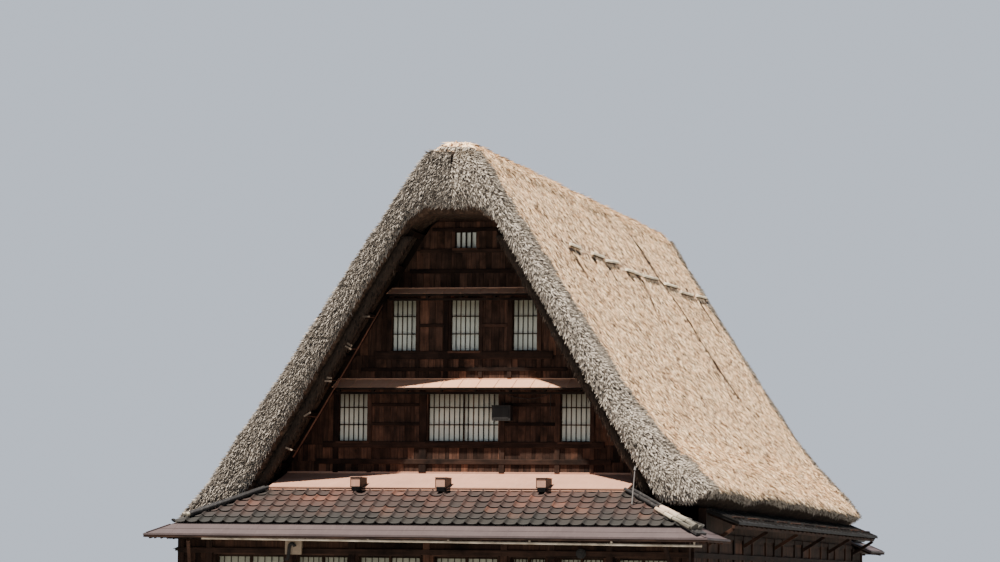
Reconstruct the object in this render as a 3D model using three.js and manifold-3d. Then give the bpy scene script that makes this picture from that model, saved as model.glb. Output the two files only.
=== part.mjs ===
// Minka farmhouse with a steep thatched roof and a tiled skirt roof at each gable end.
// Millimetres, +Z up. The origin is the centre of the plan at ground level and the
// gable end that looks at the street faces -Y.

import * as THREE from "three";
import * as BufferGeometryUtils from "three/addons/utils/BufferGeometryUtils.js";
import { ConvexGeometry } from "three/addons/geometries/ConvexGeometry.js";
import Module from "manifold-3d";

const wasm = await Module();
wasm.setup();

// Plan of the house
const gableFaceY = 9375;
const vergeY = 10665;
const skirtEaveY = 12735;
const skirtEaveX = 5770;
const lowerWallY = 11975;
const lowerWallX = 5280;
const lowerWallThickness = 160;
const platformMargin = 120;
const eaveBeamHalf = 4900;

// Levels above the ground
const platformTop = 200;
const groundFloorTop = 380;
const lowerWallTop = 3060;
const secondFloorTop = 3200;
const thirdFloorTop = 6200;
const fourthFloorTop = 8100;
const upperFloorThickness = 130;
const sideWallEndTop = 3120;
const leftWallTop = 3230;
const rightWallTop = 3620;

// Steep roof: the underside is one straight slope that starts at this height over the centre line
const undersideApex = 10955;
const undersideTangent = 1.681;
const ridgePlugHeight = 9640;
const ridgePlugHalf = 540;
const undersideFootX = 4310;
const ridgePlugShoulderX = 930;
const ridgeHalf = 500;
const ridgeTop = 10880;
const crownShoulder = [990, 10120];

// Roof grid of rafters and purlins
const gridThickness = 120;
const gridTopZ = 9330;
const gridEndY = 10200;
const vergeRafterFoot = 4050;
const rafterWidth = 140;
const rafterY = [0, 2350, 4700, 7050];
const purlinHeights = [4500, 5550, 6750, 7600, 8600];
const purlinWidth = 120;

// Upper gable wall
const gableBoards = 100;
const gableRelief = 40;
const paperThickness = 30;

// Pent roofs over the window rows: half width, reach, lower edge, height at the wall
const pentThickness = 40;
const pentSecond = { half: 2680, reach: 500, low: 6030, high: 6270 };
const pentThird = { half: 1560, reach: 400, low: 7980, high: 8160 };

// Skirt roof round a gable end
const skirtUndersideZ = 2910;
const skirtTangent = 0.4635;
const skirtDeck = 60;
const skirtTile = 80;
const eaveStrip = 500;
const skirtRun = 2000;
const skirtReturnY = 10200;
const tileReturnY = 10680;
const apronWallZ = 4310;
const apronThickness = 60;
const hipWidth = 230;
const hipHeight = 90;

// Small gap between faces that slope or turn, so that none cuts the next
const seatGap = 0.3;

const timber = 0x4a3226;
const darkTimber = 0x38261d;
const thatchTan = 0xb8a58c;
const paperWhite = 0xb4bcaa;
const tileGrey = 0x6a5048;
const sheetMetal = 0x8f7a76;
const copperSheet = 0xb98a70;
const stoneGrey = 0x8c877e;

const house = new THREE.Group();

// Puts a geometry in the scene under its name with its own material
function addPart(parent, name, geometry, colour, roughness, metalness) {
  const material = new THREE.MeshStandardMaterial({ color: colour, roughness, metalness });
  const mesh = new THREE.Mesh(geometry, material);
  mesh.name = name;
  parent.add(mesh);
  return mesh;
}

// Box given by its two opposite corners
function block(x0, x1, y0, y1, z0, z1) {
  const geometry = new THREE.BoxGeometry(x1 - x0, y1 - y0, z1 - z0);
  geometry.translate((x0 + x1) / 2, (y0 + y1) / 2, (z0 + z1) / 2);
  return geometry;
}

function outline(points) {
  const shape = new THREE.Shape();
  points.forEach(([a, b], i) => (i === 0 ? shape.moveTo(a, b) : shape.lineTo(a, b)));
  return shape;
}

// Plate with an outline in X and Z, standing between two Y values
function plateAlongY(points, y0, y1) {
  const geometry = new THREE.ExtrudeGeometry(outline(points), { depth: y1 - y0, bevelEnabled: false });
  const turn = new THREE.Matrix4().makeBasis(
    new THREE.Vector3(1, 0, 0),
    new THREE.Vector3(0, 0, 1),
    new THREE.Vector3(0, -1, 0)
  );
  geometry.applyMatrix4(turn);
  geometry.translate(0, y1, 0);
  return geometry;
}

// Bar with an outline in Y and Z, lying between two X values
function barAlongX(points, x0, x1) {
  const geometry = new THREE.ExtrudeGeometry(outline(points), { depth: x1 - x0, bevelEnabled: false });
  const turn = new THREE.Matrix4().makeBasis(
    new THREE.Vector3(0, 1, 0),
    new THREE.Vector3(0, 0, 1),
    new THREE.Vector3(1, 0, 0)
  );
  geometry.applyMatrix4(turn);
  geometry.translate(x0, 0, 0);
  return geometry;
}

// Flat-sided solid round a set of corner points
function solidRound(points) {
  return new ConvexGeometry(points.map(([x, y, z]) => new THREE.Vector3(x, y, z)));
}

function toManifold(geometry) {
  const bare = geometry.clone();
  bare.deleteAttribute("normal");
  bare.deleteAttribute("uv");
  const merged = BufferGeometryUtils.mergeVertices(bare, 1e-3);
  return new wasm.Manifold(
    new wasm.Mesh({
      numProp: 3,
      vertProperties: new Float32Array(merged.attributes.position.array),
      triVerts: new Uint32Array(merged.index.array),
    })
  );
}

function fromManifold(solid) {
  const mesh = solid.getMesh();
  const geometry = new THREE.BufferGeometry();
  geometry.setAttribute("position", new THREE.BufferAttribute(new Float32Array(mesh.vertProperties), 3));
  geometry.setIndex(new THREE.BufferAttribute(new Uint32Array(mesh.triVerts), 1));
  geometry.computeVertexNormals();
  return geometry;
}

function joined(geometries) {
  return fromManifold(geometries.map(toManifold).reduce((sum, next) => sum.add(next)));
}

function cutBy(geometry, cutters) {
  const solid = cutters.map(toManifold).reduce((rest, next) => rest.subtract(next), toManifold(geometry));
  return fromManifold(solid);
}

// Half width of the steep roof's underside, and of the grid's inner face, at a height
const undersideX = (z) => (undersideApex - z) / undersideTangent;
const slopeAngle = Math.atan(undersideTangent);
const gridOffsetX = gridThickness / Math.sin(slopeAngle);
const gridInnerX = (z) => undersideX(z) - gridOffsetX - 2 * seatGap;

// Stone platform and floors
function addFloors() {
  const platformX = lowerWallX + platformMargin;
  const platformY = lowerWallY + platformMargin;
  const insideX = lowerWallX - lowerWallThickness;
  const insideY = lowerWallY - lowerWallThickness;
  const platform = block(-platformX, platformX, -platformY, platformY, 0, platformTop);
  addPart(house, "stone_platform", platform, stoneGrey, 0.95, 0);
  const first = block(-insideX, insideX, -insideY, insideY, platformTop, groundFloorTop);
  addPart(house, "ground_floor", first, timber, 0.8, 0);
  const deckX = insideX - 1;
  const deckY = lowerWallY - lowerWallThickness / 2;
  const second = block(-deckX, deckX, -deckY, deckY, lowerWallTop, secondFloorTop);
  addPart(house, "second_floor", second, timber, 0.8, 0);
  const innerY = gableFaceY - gableBoards;
  [["third_floor", thirdFloorTop], ["fourth_floor", fourthFloorTop]].forEach(([name, top]) => {
    const half = gridInnerX(top);
    const floor = block(-half, half, -innerY, innerY, top - upperFloorThickness, top);
    addPart(house, name, floor, timber, 0.8, 0);
  });
}

// Side walls of the ground storey with their windows
function addSideWall(name, sign, middleTop) {
  const endY = lowerWallY - lowerWallThickness;
  const middleY = skirtReturnY - 10;
  const profile = [
    [-endY, platformTop],
    [endY, platformTop],
    [endY, sideWallEndTop],
    [middleY, sideWallEndTop],
    [middleY, middleTop],
    [-middleY, middleTop],
    [-middleY, sideWallEndTop],
    [-endY, sideWallEndTop],
  ];
  const windowHalf = 800;
  const outer = sign * lowerWallX;
  const inner = sign * (lowerWallX - lowerWallThickness);
  const x0 = Math.min(outer, inner);
  const x1 = Math.max(outer, inner);
  const holes = [-8000, -4000, 0, 4000, 8000].map((y) =>
    block(x0 - 10, x1 + 10, y - windowHalf, y + windowHalf, 1150, 2350)
  );
  const wall = cutBy(barAlongX(profile, x0, x1), holes);
  addPart(house, `lower_wall_${name}`, wall, darkTimber, 0.85, 0);
  const paperIn = sign * (lowerWallX - lowerWallThickness - paperThickness);
  const sheet = block(Math.min(inner, paperIn), Math.max(inner, paperIn), -9400, 9400, groundFloorTop, 2500);
  addPart(house, `lower_windows_${name}`, sheet, paperWhite, 0.5, 0);
}

// Thatch halves, the ridge cap and the grid under each half
function addSteepRoof() {
  const undersideTop = [
    [0, ridgePlugHeight],
    [ridgePlugHalf, ridgePlugHeight - 20],
    [ridgePlugShoulderX, undersideApex - ridgePlugShoulderX * undersideTangent],
    [undersideFootX, undersideApex - undersideFootX * undersideTangent],
  ];
  const slopeTop = [[3740, 5880], [3000, 6980], [2150, 8300], crownShoulder, [ridgeHalf, ridgeTop], [0, ridgeTop]];
  const footRight = [[4710, 3640], [4960, 3660], [5350, 3820], [5500, 3930], [5400, 4080], [5050, 4450], [4370, 5060]];
  const footLeft = [[4400, 3670], [5650, 3085], [5780, 3060], [5870, 3130], [5520, 3560], [5130, 3960], [4370, 5060]];
  const right = undersideTop.concat(footRight, slopeTop);
  const left = undersideTop.concat(footLeft, slopeTop).map(([x, z]) => [-x, z]);
  addPart(house, "thatch_right", plateAlongY(right, -vergeY, vergeY), thatchTan, 1, 0);
  addPart(house, "thatch_left", plateAlongY(left, -vergeY, vergeY), thatchTan, 1, 0);
  const capY = vergeY - 360;
  const capHalf = [[150, 11150], [300, 11110], [410, 11010], [ridgeHalf, ridgeTop + seatGap]];
  const cap = capHalf.concat(capHalf.map(([x, z]) => [-x, z]).reverse());
  addPart(house, "ridge_thatch", plateAlongY(cap, -capY, capY), thatchTan, 1, 0);
}

// Rafters and purlins of one roof half as one grid that lies against the thatch
function gridGeometry() {
  const sine = Math.sin(slopeAngle);
  const footZ = secondFloorTop + gridThickness * Math.cos(slopeAngle) + seatGap;
  const along = (z) => (z - footZ) / sine;
  const length = along(gridTopZ);
  const half = rafterWidth / 2;
  const wallRafter = gableFaceY - half;
  const centres = rafterY.concat(rafterY.slice(1).map((y) => -y), [wallRafter, -wallRafter]);
  const rafters = centres.map((y) => block(0, length, y - half, y + half, 0, gridThickness));
  [gridEndY - half, half - gridEndY].forEach((y) => {
    rafters.push(block(along(vergeRafterFoot), length, y - half, y + half, 0, gridThickness));
  });
  const rows = purlinHeights.map(along).concat([length - purlinWidth / 2]);
  const purlins = rows.map((s) =>
    block(s - purlinWidth / 2, s + purlinWidth / 2, -gridEndY, gridEndY, 0, gridThickness)
  );
  const wallPlate = block(0, purlinWidth, -gableFaceY, gableFaceY, 0, gridThickness);
  const geometry = joined(rafters.concat(purlins, [wallPlate]));
  // The bars are laid out up the slope and along Y, with their depth at right angles to both
  const up = new THREE.Vector3(-Math.cos(slopeAngle), 0, sine);
  const across = new THREE.Vector3(0, 1, 0);
  const inward = new THREE.Vector3().crossVectors(up, across);
  geometry.applyMatrix4(new THREE.Matrix4().makeBasis(up, across, inward));
  geometry.translate(undersideX(footZ) - seatGap, 0, footZ);
  return geometry;
}

function addRoofGrids() {
  addPart(house, "roof_grid_right", gridGeometry(), timber, 0.85, 0);
  const turned = new THREE.Group();
  turned.rotation.z = Math.PI;
  house.add(turned);
  addPart(turned, "roof_grid_left", gridGeometry(), timber, 0.85, 0);
}

// Windows of one gable end: X range and Z range of each opening
const secondWindows = [[-2680, -2060], [-750, 750], [2070, 2700]].map((x) => [...x, 4970, 6010]);
const thirdWindows = [[-1550, -1040], [-290, 310], [1030, 1550]].map((x) => [...x, 6850, 7920]);
const topWindow = [[-220, 230, 8990, 9340]];

// Posts and rails that stand proud of the gable boards: X range and Z range
const gablePosts = [
  [-2785, -2680, 4320, 6025], [-2050, -1960, 4320, 6025], [-930, -780, 4320, 6025],
  [780, 890, 4320, 6025], [1960, 2060, 4320, 6025], [2700, 2785, 4320, 6025],
  [-1650, -1560, 6290, 7940], [-1030, -960, 6290, 7940], [-430, -340, 6290, 7940],
  [320, 400, 6290, 7940], [930, 1020, 6290, 7940], [1560, 1650, 6290, 7940],
];
const gableRails = [
  [-3000, 3000, 4840, 4960], [-3150, 3150, 4500, 4600],
  [-1960, -930, 5700, 5760], [-1960, -930, 5300, 5360],
  [890, 1960, 5700, 5760], [890, 1960, 5300, 5360],
  [-1900, 1900, 6680, 6840], [-2200, 2200, 6430, 6500],
  [-960, -430, 7350, 7410], [400, 930, 7350, 7410],
  [-1180, 1180, 8470, 8550], [-950, 950, 8900, 8975], [-700, 700, 9350, 9410],
];

function addGableWall(end, suffix) {
  const shoulderZ = 9300;
  const halfWall = [
    [gridInnerX(secondFloorTop), secondFloorTop],
    [gridInnerX(shoulderZ), shoulderZ],
    [ridgePlugHalf, ridgePlugHeight - 20 - seatGap],
  ];
  const wallOutline = halfWall.concat(halfWall.map(([x, z]) => [-x, z]).reverse());
  const holes = secondWindows.concat(thirdWindows, topWindow).map(([x0, x1, z0, z1]) =>
    block(x0, x1, -gableFaceY - 100, -gableFaceY + gableBoards + 100, z0, z1)
  );
  const boards = plateAlongY(wallOutline, -gableFaceY, -gableFaceY + gableBoards);
  const relief = gablePosts.concat(gableRails).map(([x0, x1, z0, z1]) =>
    block(x0, x1, -gableFaceY - gableRelief, -gableFaceY + 10, z0, z1)
  );
  const wall = cutBy(joined([boards, ...relief]), holes);
  addPart(end, `gable_wall_${suffix}`, wall, darkTimber, 0.85, 0);
  const paperY = -gableFaceY + gableBoards;
  const sheets = [
    ["second_windows", -2740, 2740, 4910, 6060],
    ["third_windows", -1610, 1610, 6790, 7960],
    ["top_window", -300, 300, 8940, 9400],
  ];
  sheets.forEach(([name, x0, x1, z0, z1]) => {
    const sheet = block(x0, x1, paperY, paperY + paperThickness, z0, z1);
    addPart(end, `${name}_${suffix}`, sheet, paperWhite, 0.5, 0);
  });
}

// Sheet metal roof along a row of windows
function addPentRoof(end, name, pent) {
  const wall = -gableFaceY;
  const profile = [
    [wall, pent.high],
    [wall - pent.reach, pent.low + pentThickness],
    [wall - pent.reach, pent.low],
    [wall, pent.high - pentThickness - 20],
  ];
  addPart(end, name, barAlongX(profile, -pent.half, pent.half), copperSheet, 0.5, 0.6);
}

// Ground storey wall of a gable end with its doors and windows
const lowerOpenings = [
  [-4480, -3040, 1050, 2580], [-2780, -1700, 1050, 2580], [-1490, -190, 400, 2580],
  [80, 1400, 400, 2580], [1660, 2380, 1050, 2580], [2630, 3560, 1050, 2580], [3820, 4850, 1050, 2580],
];

function addLowerEnd(end, suffix) {
  const wallOutline = [
    [-lowerWallX, platformTop],
    [lowerWallX, platformTop],
    [lowerWallX, lowerWallTop],
    [-lowerWallX, lowerWallTop],
  ];
  const inner = -lowerWallY + lowerWallThickness;
  const holes = lowerOpenings.map(([x0, x1, z0, z1]) =>
    block(x0, x1, -lowerWallY - 10, inner + 10, z0, z1)
  );
  const wall = cutBy(plateAlongY(wallOutline, -lowerWallY, inner), holes);
  addPart(end, `lower_wall_${suffix}`, wall, darkTimber, 0.85, 0);
  const sheet = block(-5000, 5000, inner, inner + paperThickness, groundFloorTop, 2640);
  addPart(end, `lower_doors_${suffix}`, sheet, paperWhite, 0.5, 0);
  const undersideAt = (y) => skirtUndersideZ + skirtTangent * (skirtEaveY + y) - seatGap;
  const beamBack = -lowerWallY + lowerWallThickness / 2;
  const beam = [
    [-lowerWallY, lowerWallTop],
    [beamBack, lowerWallTop],
    [beamBack, undersideAt(beamBack)],
    [-lowerWallY, undersideAt(-lowerWallY)],
  ];
  addPart(end, `eave_beam_${suffix}`, barAlongX(beam, -eaveBeamHalf, eaveBeamHalf), timber, 0.85, 0);
}

// One slope of the skirt roof as a slab: four plan points, with heights by distance from the eave
function slopeSlab(corners, low, high) {
  const points = [];
  corners.forEach(([x, y, run]) => {
    const z = skirtUndersideZ + skirtTangent * run;
    points.push([x, y, z + low], [x, y, z + high]);
  });
  return solidRound(points);
}

function addSkirtRoof(end, suffix) {
  const topX = skirtEaveX - skirtRun;
  const topY = -skirtEaveY + skirtRun;
  const frontDeck = slopeSlab(
    [[-skirtEaveX, -skirtEaveY, 0], [skirtEaveX, -skirtEaveY, 0], [topX, topY, skirtRun], [-topX, topY, skirtRun]],
    0,
    skirtDeck
  );
  const sideDeck = (s) => slopeSlab(
    [
      [s * skirtEaveX, -skirtEaveY, 0], [s * skirtEaveX, -skirtReturnY, 0],
      [s * topX, -skirtReturnY, skirtRun], [s * topX, topY, skirtRun],
    ],
    0,
    skirtDeck
  );
  const deck = joined([frontDeck, sideDeck(1), sideDeck(-1)]);
  addPart(end, `skirt_roof_${suffix}`, deck, sheetMetal, 0.55, 0.5);

  const stripX = skirtEaveX - eaveStrip;
  const stripY = -skirtEaveY + eaveStrip;
  const tileLow = skirtDeck + seatGap;
  const tileHigh = skirtDeck + skirtTile;
  const frontTiles = slopeSlab(
    [[-stripX, stripY, eaveStrip], [stripX, stripY, eaveStrip], [topX, topY, skirtRun], [-topX, topY, skirtRun]],
    tileLow,
    tileHigh
  );
  const sideTiles = (s) => slopeSlab(
    [
      [s * stripX, stripY, eaveStrip], [s * stripX, -tileReturnY, eaveStrip],
      [s * topX, -tileReturnY, skirtRun], [s * topX, topY, skirtRun],
    ],
    tileLow,
    tileHigh
  );
  const hipFoot = eaveStrip - 120;
  const hip = (s) => {
    const half = hipWidth / 2 / Math.SQRT2;
    const points = [];
    [hipFoot, skirtRun - 60].forEach((run) => {
      const x = s * (skirtEaveX - run);
      const y = -skirtEaveY + run;
      const z = skirtUndersideZ + skirtTangent * run + skirtDeck;
      [-1, 1].forEach((side) => {
        const dx = side * half * s;
        const dy = side * half;
        points.push([x + dx, y + dy, z + skirtTile - 40], [x + dx, y + dy, z + skirtTile + hipHeight]);
      });
    });
    return solidRound(points);
  };
  const tiles = joined([frontTiles, sideTiles(1), sideTiles(-1), hip(1), hip(-1)]);
  addPart(end, `skirt_tiles_${suffix}`, tiles, tileGrey, 0.75, 0);

  const apronLow = skirtUndersideZ + skirtTangent * skirtRun + skirtDeck;
  const apronProfile = [
    [topY, apronLow],
    [-gableFaceY, apronWallZ - apronThickness],
    [-gableFaceY, apronWallZ],
    [topY, apronLow + skirtTile + 10],
  ];
  const apron = barAlongX(apronProfile, -topX, topX);
  const caps = [-1850, -60, 2040].map((x) => block(x - 95, x + 95, topY - 240, topY + 260, 3985, 4175));
  addPart(end, `skirt_apron_${suffix}`, joined([apron, ...caps]), copperSheet, 0.5, 0.5);
}

// Low roofs along the two long sides, under the thatch
function addLeanTo(name, sign, wallZ) {
  const eaveX = 5950;
  const tangent = 0.39;
  const leanThickness = 50;
  const drop = (eaveX - lowerWallX) * tangent;
  const profile = [
    [sign * lowerWallX, wallZ],
    [sign * eaveX, wallZ - drop],
    [sign * eaveX, wallZ - drop - leanThickness],
    [sign * lowerWallX, wallZ - leanThickness * 1.4],
  ];
  const endY = skirtReturnY - 20;
  addPart(house, name, plateAlongY(profile, -endY, endY), sheetMetal, 0.6, 0.4);
}

// Things that hang under the front eave and on the front gable
function addFrontFittings() {
  const poleRadius = 24;
  const poleY = -skirtEaveY + 90;
  const undersideAt = (y) => skirtUndersideZ + skirtTangent * (skirtEaveY + y) - seatGap;
  // The pole hangs a little lower at its right end: X and Z of its two ends
  const [poleX0, poleZ0] = [-4570, 2891];
  const [poleX1, poleZ1] = [5650, 2827];
  const poleFall = (poleZ0 - poleZ1) / (poleX1 - poleX0);
  const pole = new THREE.CylinderGeometry(poleRadius, poleRadius, poleX1 - poleX0, 10);
  pole.rotateZ(Math.PI / 2);
  pole.rotateY(Math.atan(poleFall));
  pole.translate((poleX0 + poleX1) / 2, poleY, (poleZ0 + poleZ1) / 2);
  const straps = [-4400, -2750, -1100, 550, 2200, 3850, 5500].map((x) => {
    const poleZ = poleZ0 - poleFall * (x - poleX0);
    const strapProfile = [
      [poleY - 12, poleZ],
      [poleY + 12, poleZ],
      [poleY + 12, undersideAt(poleY + 12)],
      [poleY - 12, undersideAt(poleY - 12)],
    ];
    return barAlongX(strapProfile, x - 18, x + 18);
  });
  addPart(house, "eave_pole", joined([pole, ...straps]), 0xb8b0a4, 0.6, 0);
  const box = block(-2970, -2640, -lowerWallY - 130, -lowerWallY, 2590, 2900);
  addPart(house, "meter_box", box, 0xd8d4c8, 0.5, 0);
  const lamp = block(690, 1060, -gableFaceY - gableRelief - 240, -gableFaceY - gableRelief, 5400, 5700);
  addPart(house, "gable_lamp", lamp, 0x2b2b2b, 0.5, 0.3);
}

addFloors();
addSideWall("right", 1, rightWallTop);
addSideWall("left", -1, leftWallTop);
addSteepRoof();
addRoofGrids();

["front", "back"].forEach((suffix) => {
  const end = new THREE.Group();
  if (suffix === "back") end.rotation.z = Math.PI;
  house.add(end);
  addGableWall(end, suffix);
  addPentRoof(end, `pent_roof_second_${suffix}`, pentSecond);
  addPentRoof(end, `pent_roof_third_${suffix}`, pentThird);
  addLowerEnd(end, suffix);
  addSkirtRoof(end, suffix);
});

addLeanTo("lean_to_right", 1, 3600);
addLeanTo("lean_to_left", -1, 2960);
addFrontFittings();

export default house;
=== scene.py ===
import bpy
import bmesh
import math
import random
from mathutils import Matrix, Vector, noise


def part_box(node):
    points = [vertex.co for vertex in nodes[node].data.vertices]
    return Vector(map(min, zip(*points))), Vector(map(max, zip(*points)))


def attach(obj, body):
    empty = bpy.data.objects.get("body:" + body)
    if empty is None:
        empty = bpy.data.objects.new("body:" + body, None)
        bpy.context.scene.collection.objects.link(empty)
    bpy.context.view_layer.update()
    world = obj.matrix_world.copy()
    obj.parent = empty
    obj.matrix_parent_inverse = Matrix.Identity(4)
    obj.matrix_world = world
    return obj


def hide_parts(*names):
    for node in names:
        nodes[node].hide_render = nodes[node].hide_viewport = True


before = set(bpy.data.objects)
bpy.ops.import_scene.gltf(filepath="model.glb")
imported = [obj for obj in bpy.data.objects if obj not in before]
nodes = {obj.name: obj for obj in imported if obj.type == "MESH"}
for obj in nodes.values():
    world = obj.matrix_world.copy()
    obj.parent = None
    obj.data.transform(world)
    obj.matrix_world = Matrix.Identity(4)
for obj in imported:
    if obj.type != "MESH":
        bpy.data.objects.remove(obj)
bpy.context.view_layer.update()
scene = bpy.context.scene
print("frame loaded")


# Camera, floor and light
view = {
    "place": (18.98, -84.62, 2.10), "azimuth": 13.62, "pitch": 4.58, "roll": 0.69, "lens": 134.83, "sensor": 36.0,
    "far": 500.0,
}


def addCamera():
    a, p, q = (math.radians(view[k]) for k in ("azimuth", "pitch", "roll"))
    forward = Vector((-math.sin(a) * math.cos(p), math.cos(a) * math.cos(p), math.sin(p)))
    up = Vector((math.sin(a) * math.sin(p), -math.cos(a) * math.sin(p), math.cos(p)))
    right = Vector((math.cos(a), math.sin(a), 0.0))
    camRight = right * math.cos(q) + up * math.sin(q)
    camUp = up * math.cos(q) - right * math.sin(q)
    turn = Matrix((camRight, camUp, -forward)).transposed().to_4x4()
    data = bpy.data.cameras.new("photoCamera")
    data.lens = view["lens"]
    data.sensor_width = view["sensor"]
    data.clip_end = view["far"]
    camera = bpy.data.objects.new("photoCamera", data)
    camera.matrix_world = Matrix.Translation(view["place"]) @ turn
    scene.collection.objects.link(camera)
    scene.camera = camera


addCamera()

light = {
    "towards": (-0.20, -0.345, 0.917), "strength": 17.8, "spread": 0.8, "sun": (1.0, 0.92, 0.80),
    "sky": (0.62, 0.78, 1.0), "skyStrength": 0.44, "seenSky": 0.85, "backdrop": (0.78, 0.86, 1.0),
}


def addLight():
    data = bpy.data.lights.new("keyLight", "SUN")
    data.energy = light["strength"]
    data.angle = math.radians(light["spread"])
    data.color = light["sun"]
    key = bpy.data.objects.new("keyLight", data)
    key.rotation_euler = Vector(light["towards"]).to_track_quat("Z", "Y").to_euler()
    scene.collection.objects.link(key)
    world = bpy.data.worlds.new("softSky")
    scene.world = world
    world.use_nodes = True
    background = world.node_tree.nodes["Background"]
    background.inputs["Color"].default_value = (*light["sky"], 1.0)
    background.inputs["Strength"].default_value = light["skyStrength"]
    # The camera sees a paler backdrop than the one that lights the house
    tree = world.node_tree
    seen = tree.nodes.new("ShaderNodeBackground")
    seen.inputs["Color"].default_value = (*light["backdrop"], 1.0)
    seen.inputs["Strength"].default_value = light["seenSky"]
    either = tree.nodes.new("ShaderNodeMixShader")
    tree.links.new(tree.nodes.new("ShaderNodeLightPath").outputs["Is Camera Ray"], either.inputs[0])
    tree.links.new(background.outputs[0], either.inputs[1])
    tree.links.new(seen.outputs[0], either.inputs[2])
    tree.links.new(either.outputs[0], tree.nodes["World Output"].inputs[0])


addLight()


# Small tools for materials
class Shade:
    # Makes and links nodes in one material or group
    def __init__(self, tree):
        self.tree = tree

    def node(self, kind, inputs=None, **settings):
        made = self.tree.nodes.new(kind)
        for key, value in settings.items():
            setattr(made, key, value)
        for key, value in (inputs or {}).items():
            self.put(made.inputs[key], value)
        return made

    def put(self, socket, value):
        if isinstance(value, bpy.types.NodeSocket):
            self.tree.links.new(value, socket)
        else:
            socket.default_value = value

    def ramp(self, factor, stops):
        made = self.tree.nodes.new("ShaderNodeValToRGB")
        self.tree.links.new(factor, made.inputs["Fac"])
        elements = made.color_ramp.elements
        while len(elements) < len(stops):
            elements.new(0.5)
        for element, (at, colour) in zip(elements, stops):
            element.position = at
            element.color = (*colour, 1.0)
        return made.outputs["Color"]

    def fade(self, factor, low, high, top=1.0):
        # Black up to low, then lighter up to a grey at high
        return self.ramp(factor, [(low, (0, 0, 0)), (high, (top, top, top))])

    def mix(self, factor, a, b, blend="MIX"):
        made = self.node("ShaderNodeMix", data_type="RGBA", blend_type=blend)
        self.put(made.inputs[0], factor)
        for socket, value in ((made.inputs[6], a), (made.inputs[7], b)):
            self.put(socket, value if isinstance(value, bpy.types.NodeSocket) else (*value, 1.0))
        return made.outputs[2]

    def math(self, operation, a, b=0.0):
        made = self.node("ShaderNodeMath", operation=operation)
        self.put(made.inputs[0], a)
        self.put(made.inputs[1], b)
        return made.outputs[0]

    def times(self, a, b):
        return self.math("MULTIPLY", a, b)

    def place(self):
        return self.node("ShaderNodeTexCoord").outputs["Object"]

    def layer(self, name):
        return self.node("ShaderNodeAttribute", attribute_name=name).outputs["Fac"]

    def noise(self, vector, scale, detail, roughness=0.5, seed=None):
        settings = {} if seed is None else {"noise_dimensions": "4D"}
        made = self.node("ShaderNodeTexNoise", {"Vector": vector, "Scale": scale, "Detail": detail,
                         "Roughness": roughness}, **settings)
        if seed is not None:
            self.put(made.inputs["W"], seed)
        return made.outputs["Fac"]

    def coat(self, shader, base, height, strength, distance):
        # Colour and bump of a material
        self.put(shader.inputs["Base Color"], base)
        bump = self.node("ShaderNodeBump", {"Height": height, "Strength": strength, "Distance": distance})
        self.put(shader.inputs["Normal"], bump.outputs[0])


def addInputs(tree, inputs):
    # The kind of each input comes from its first value, and None stands for a material
    kinds = {float: "Float", int: "Int", tuple: "Vector", type(None): "Material"}
    for label, value in inputs.items():
        socket = tree.interface.new_socket(label, in_out="INPUT", socket_type="NodeSocket" + kinds[type(value)])
        if value is not None:
            socket.default_value = value


def startGroup(name, inputs, outputs):
    tree = bpy.data.node_groups.new(name, "ShaderNodeTree")
    addInputs(tree, inputs)
    for label in outputs:
        tree.interface.new_socket(label, in_out="OUTPUT", socket_type="NodeSocketFloat")
    start = tree.nodes.new("NodeGroupInput")
    end = tree.nodes.new("NodeGroupOutput")
    return tree, Shade(tree), start.outputs, end.inputs


def startMaterial(name, roughness, metallic, specular):
    material = bpy.data.materials.new(name)
    material.use_nodes = True
    shader = material.node_tree.nodes["Principled BSDF"]
    for label, value in (("Roughness", roughness), ("Metallic", metallic), ("Specular IOR Level", specular)):
        shader.inputs[label].default_value = value
    return material, Shade(material.node_tree), shader


def useGroup(shade, tree, **values):
    made = shade.tree.nodes.new("ShaderNodeGroup")
    made.node_tree = tree
    for key, value in values.items():
        shade.put(made.inputs[key], value)
    return made.outputs


# Effects that several materials share
def makeGrainGroup():
    # Wood grain: long streaks along one axis, with weather stains
    tree, s, given, out = startGroup(
        "woodGrain", {"Vector": (0.0, 0.0, 0.0), "Stretch": (1.0, 1.0, 1.0), "Seed": 0.0},
        ("Streak", "Stain", "Height"),
    )
    vector = s.node("ShaderNodeMapping", {"Vector": given["Vector"], "Scale": given["Stretch"]}).outputs[0]
    streak = s.noise(vector, 30.0, 5.0, 0.62, given["Seed"])
    fine = s.noise(vector, 120.0, 2.0)
    s.put(out["Stain"], s.noise(given["Vector"], 1.7, 4.0, 0.65, given["Seed"]))
    s.put(out["Streak"], streak)
    s.put(out["Height"], s.math("ADD", s.times(streak, 0.7), s.times(fine, 0.3)))
    return tree


def makeWeatherGroup():
    # Dust and water marks on sheet metal and tiles
    tree, s, given, out = startGroup(
        "weathering", {"Vector": (0.0, 0.0, 0.0), "Size": 1.0}, ("Patch", "Speck", "Run"),
    )
    sized = s.node("ShaderNodeVectorMath", {0: given["Vector"], 3: given["Size"]}, operation="SCALE").outputs[0]
    s.put(out["Patch"], s.noise(sized, 1.4, 6.0, 0.68))
    s.put(out["Speck"], s.noise(sized, 42.0, 3.0, 0.7))
    tall = s.node("ShaderNodeMapping", {"Vector": sized, "Scale": (9.0, 0.9, 1.2)}).outputs[0]
    s.put(out["Run"], s.noise(tall, 2.2, 4.0))
    return tree


grainGroup = makeGrainGroup()
weatherGroup = makeWeatherGroup()


def shaded(colour, share):
    return tuple(c * share for c in colour)


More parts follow.
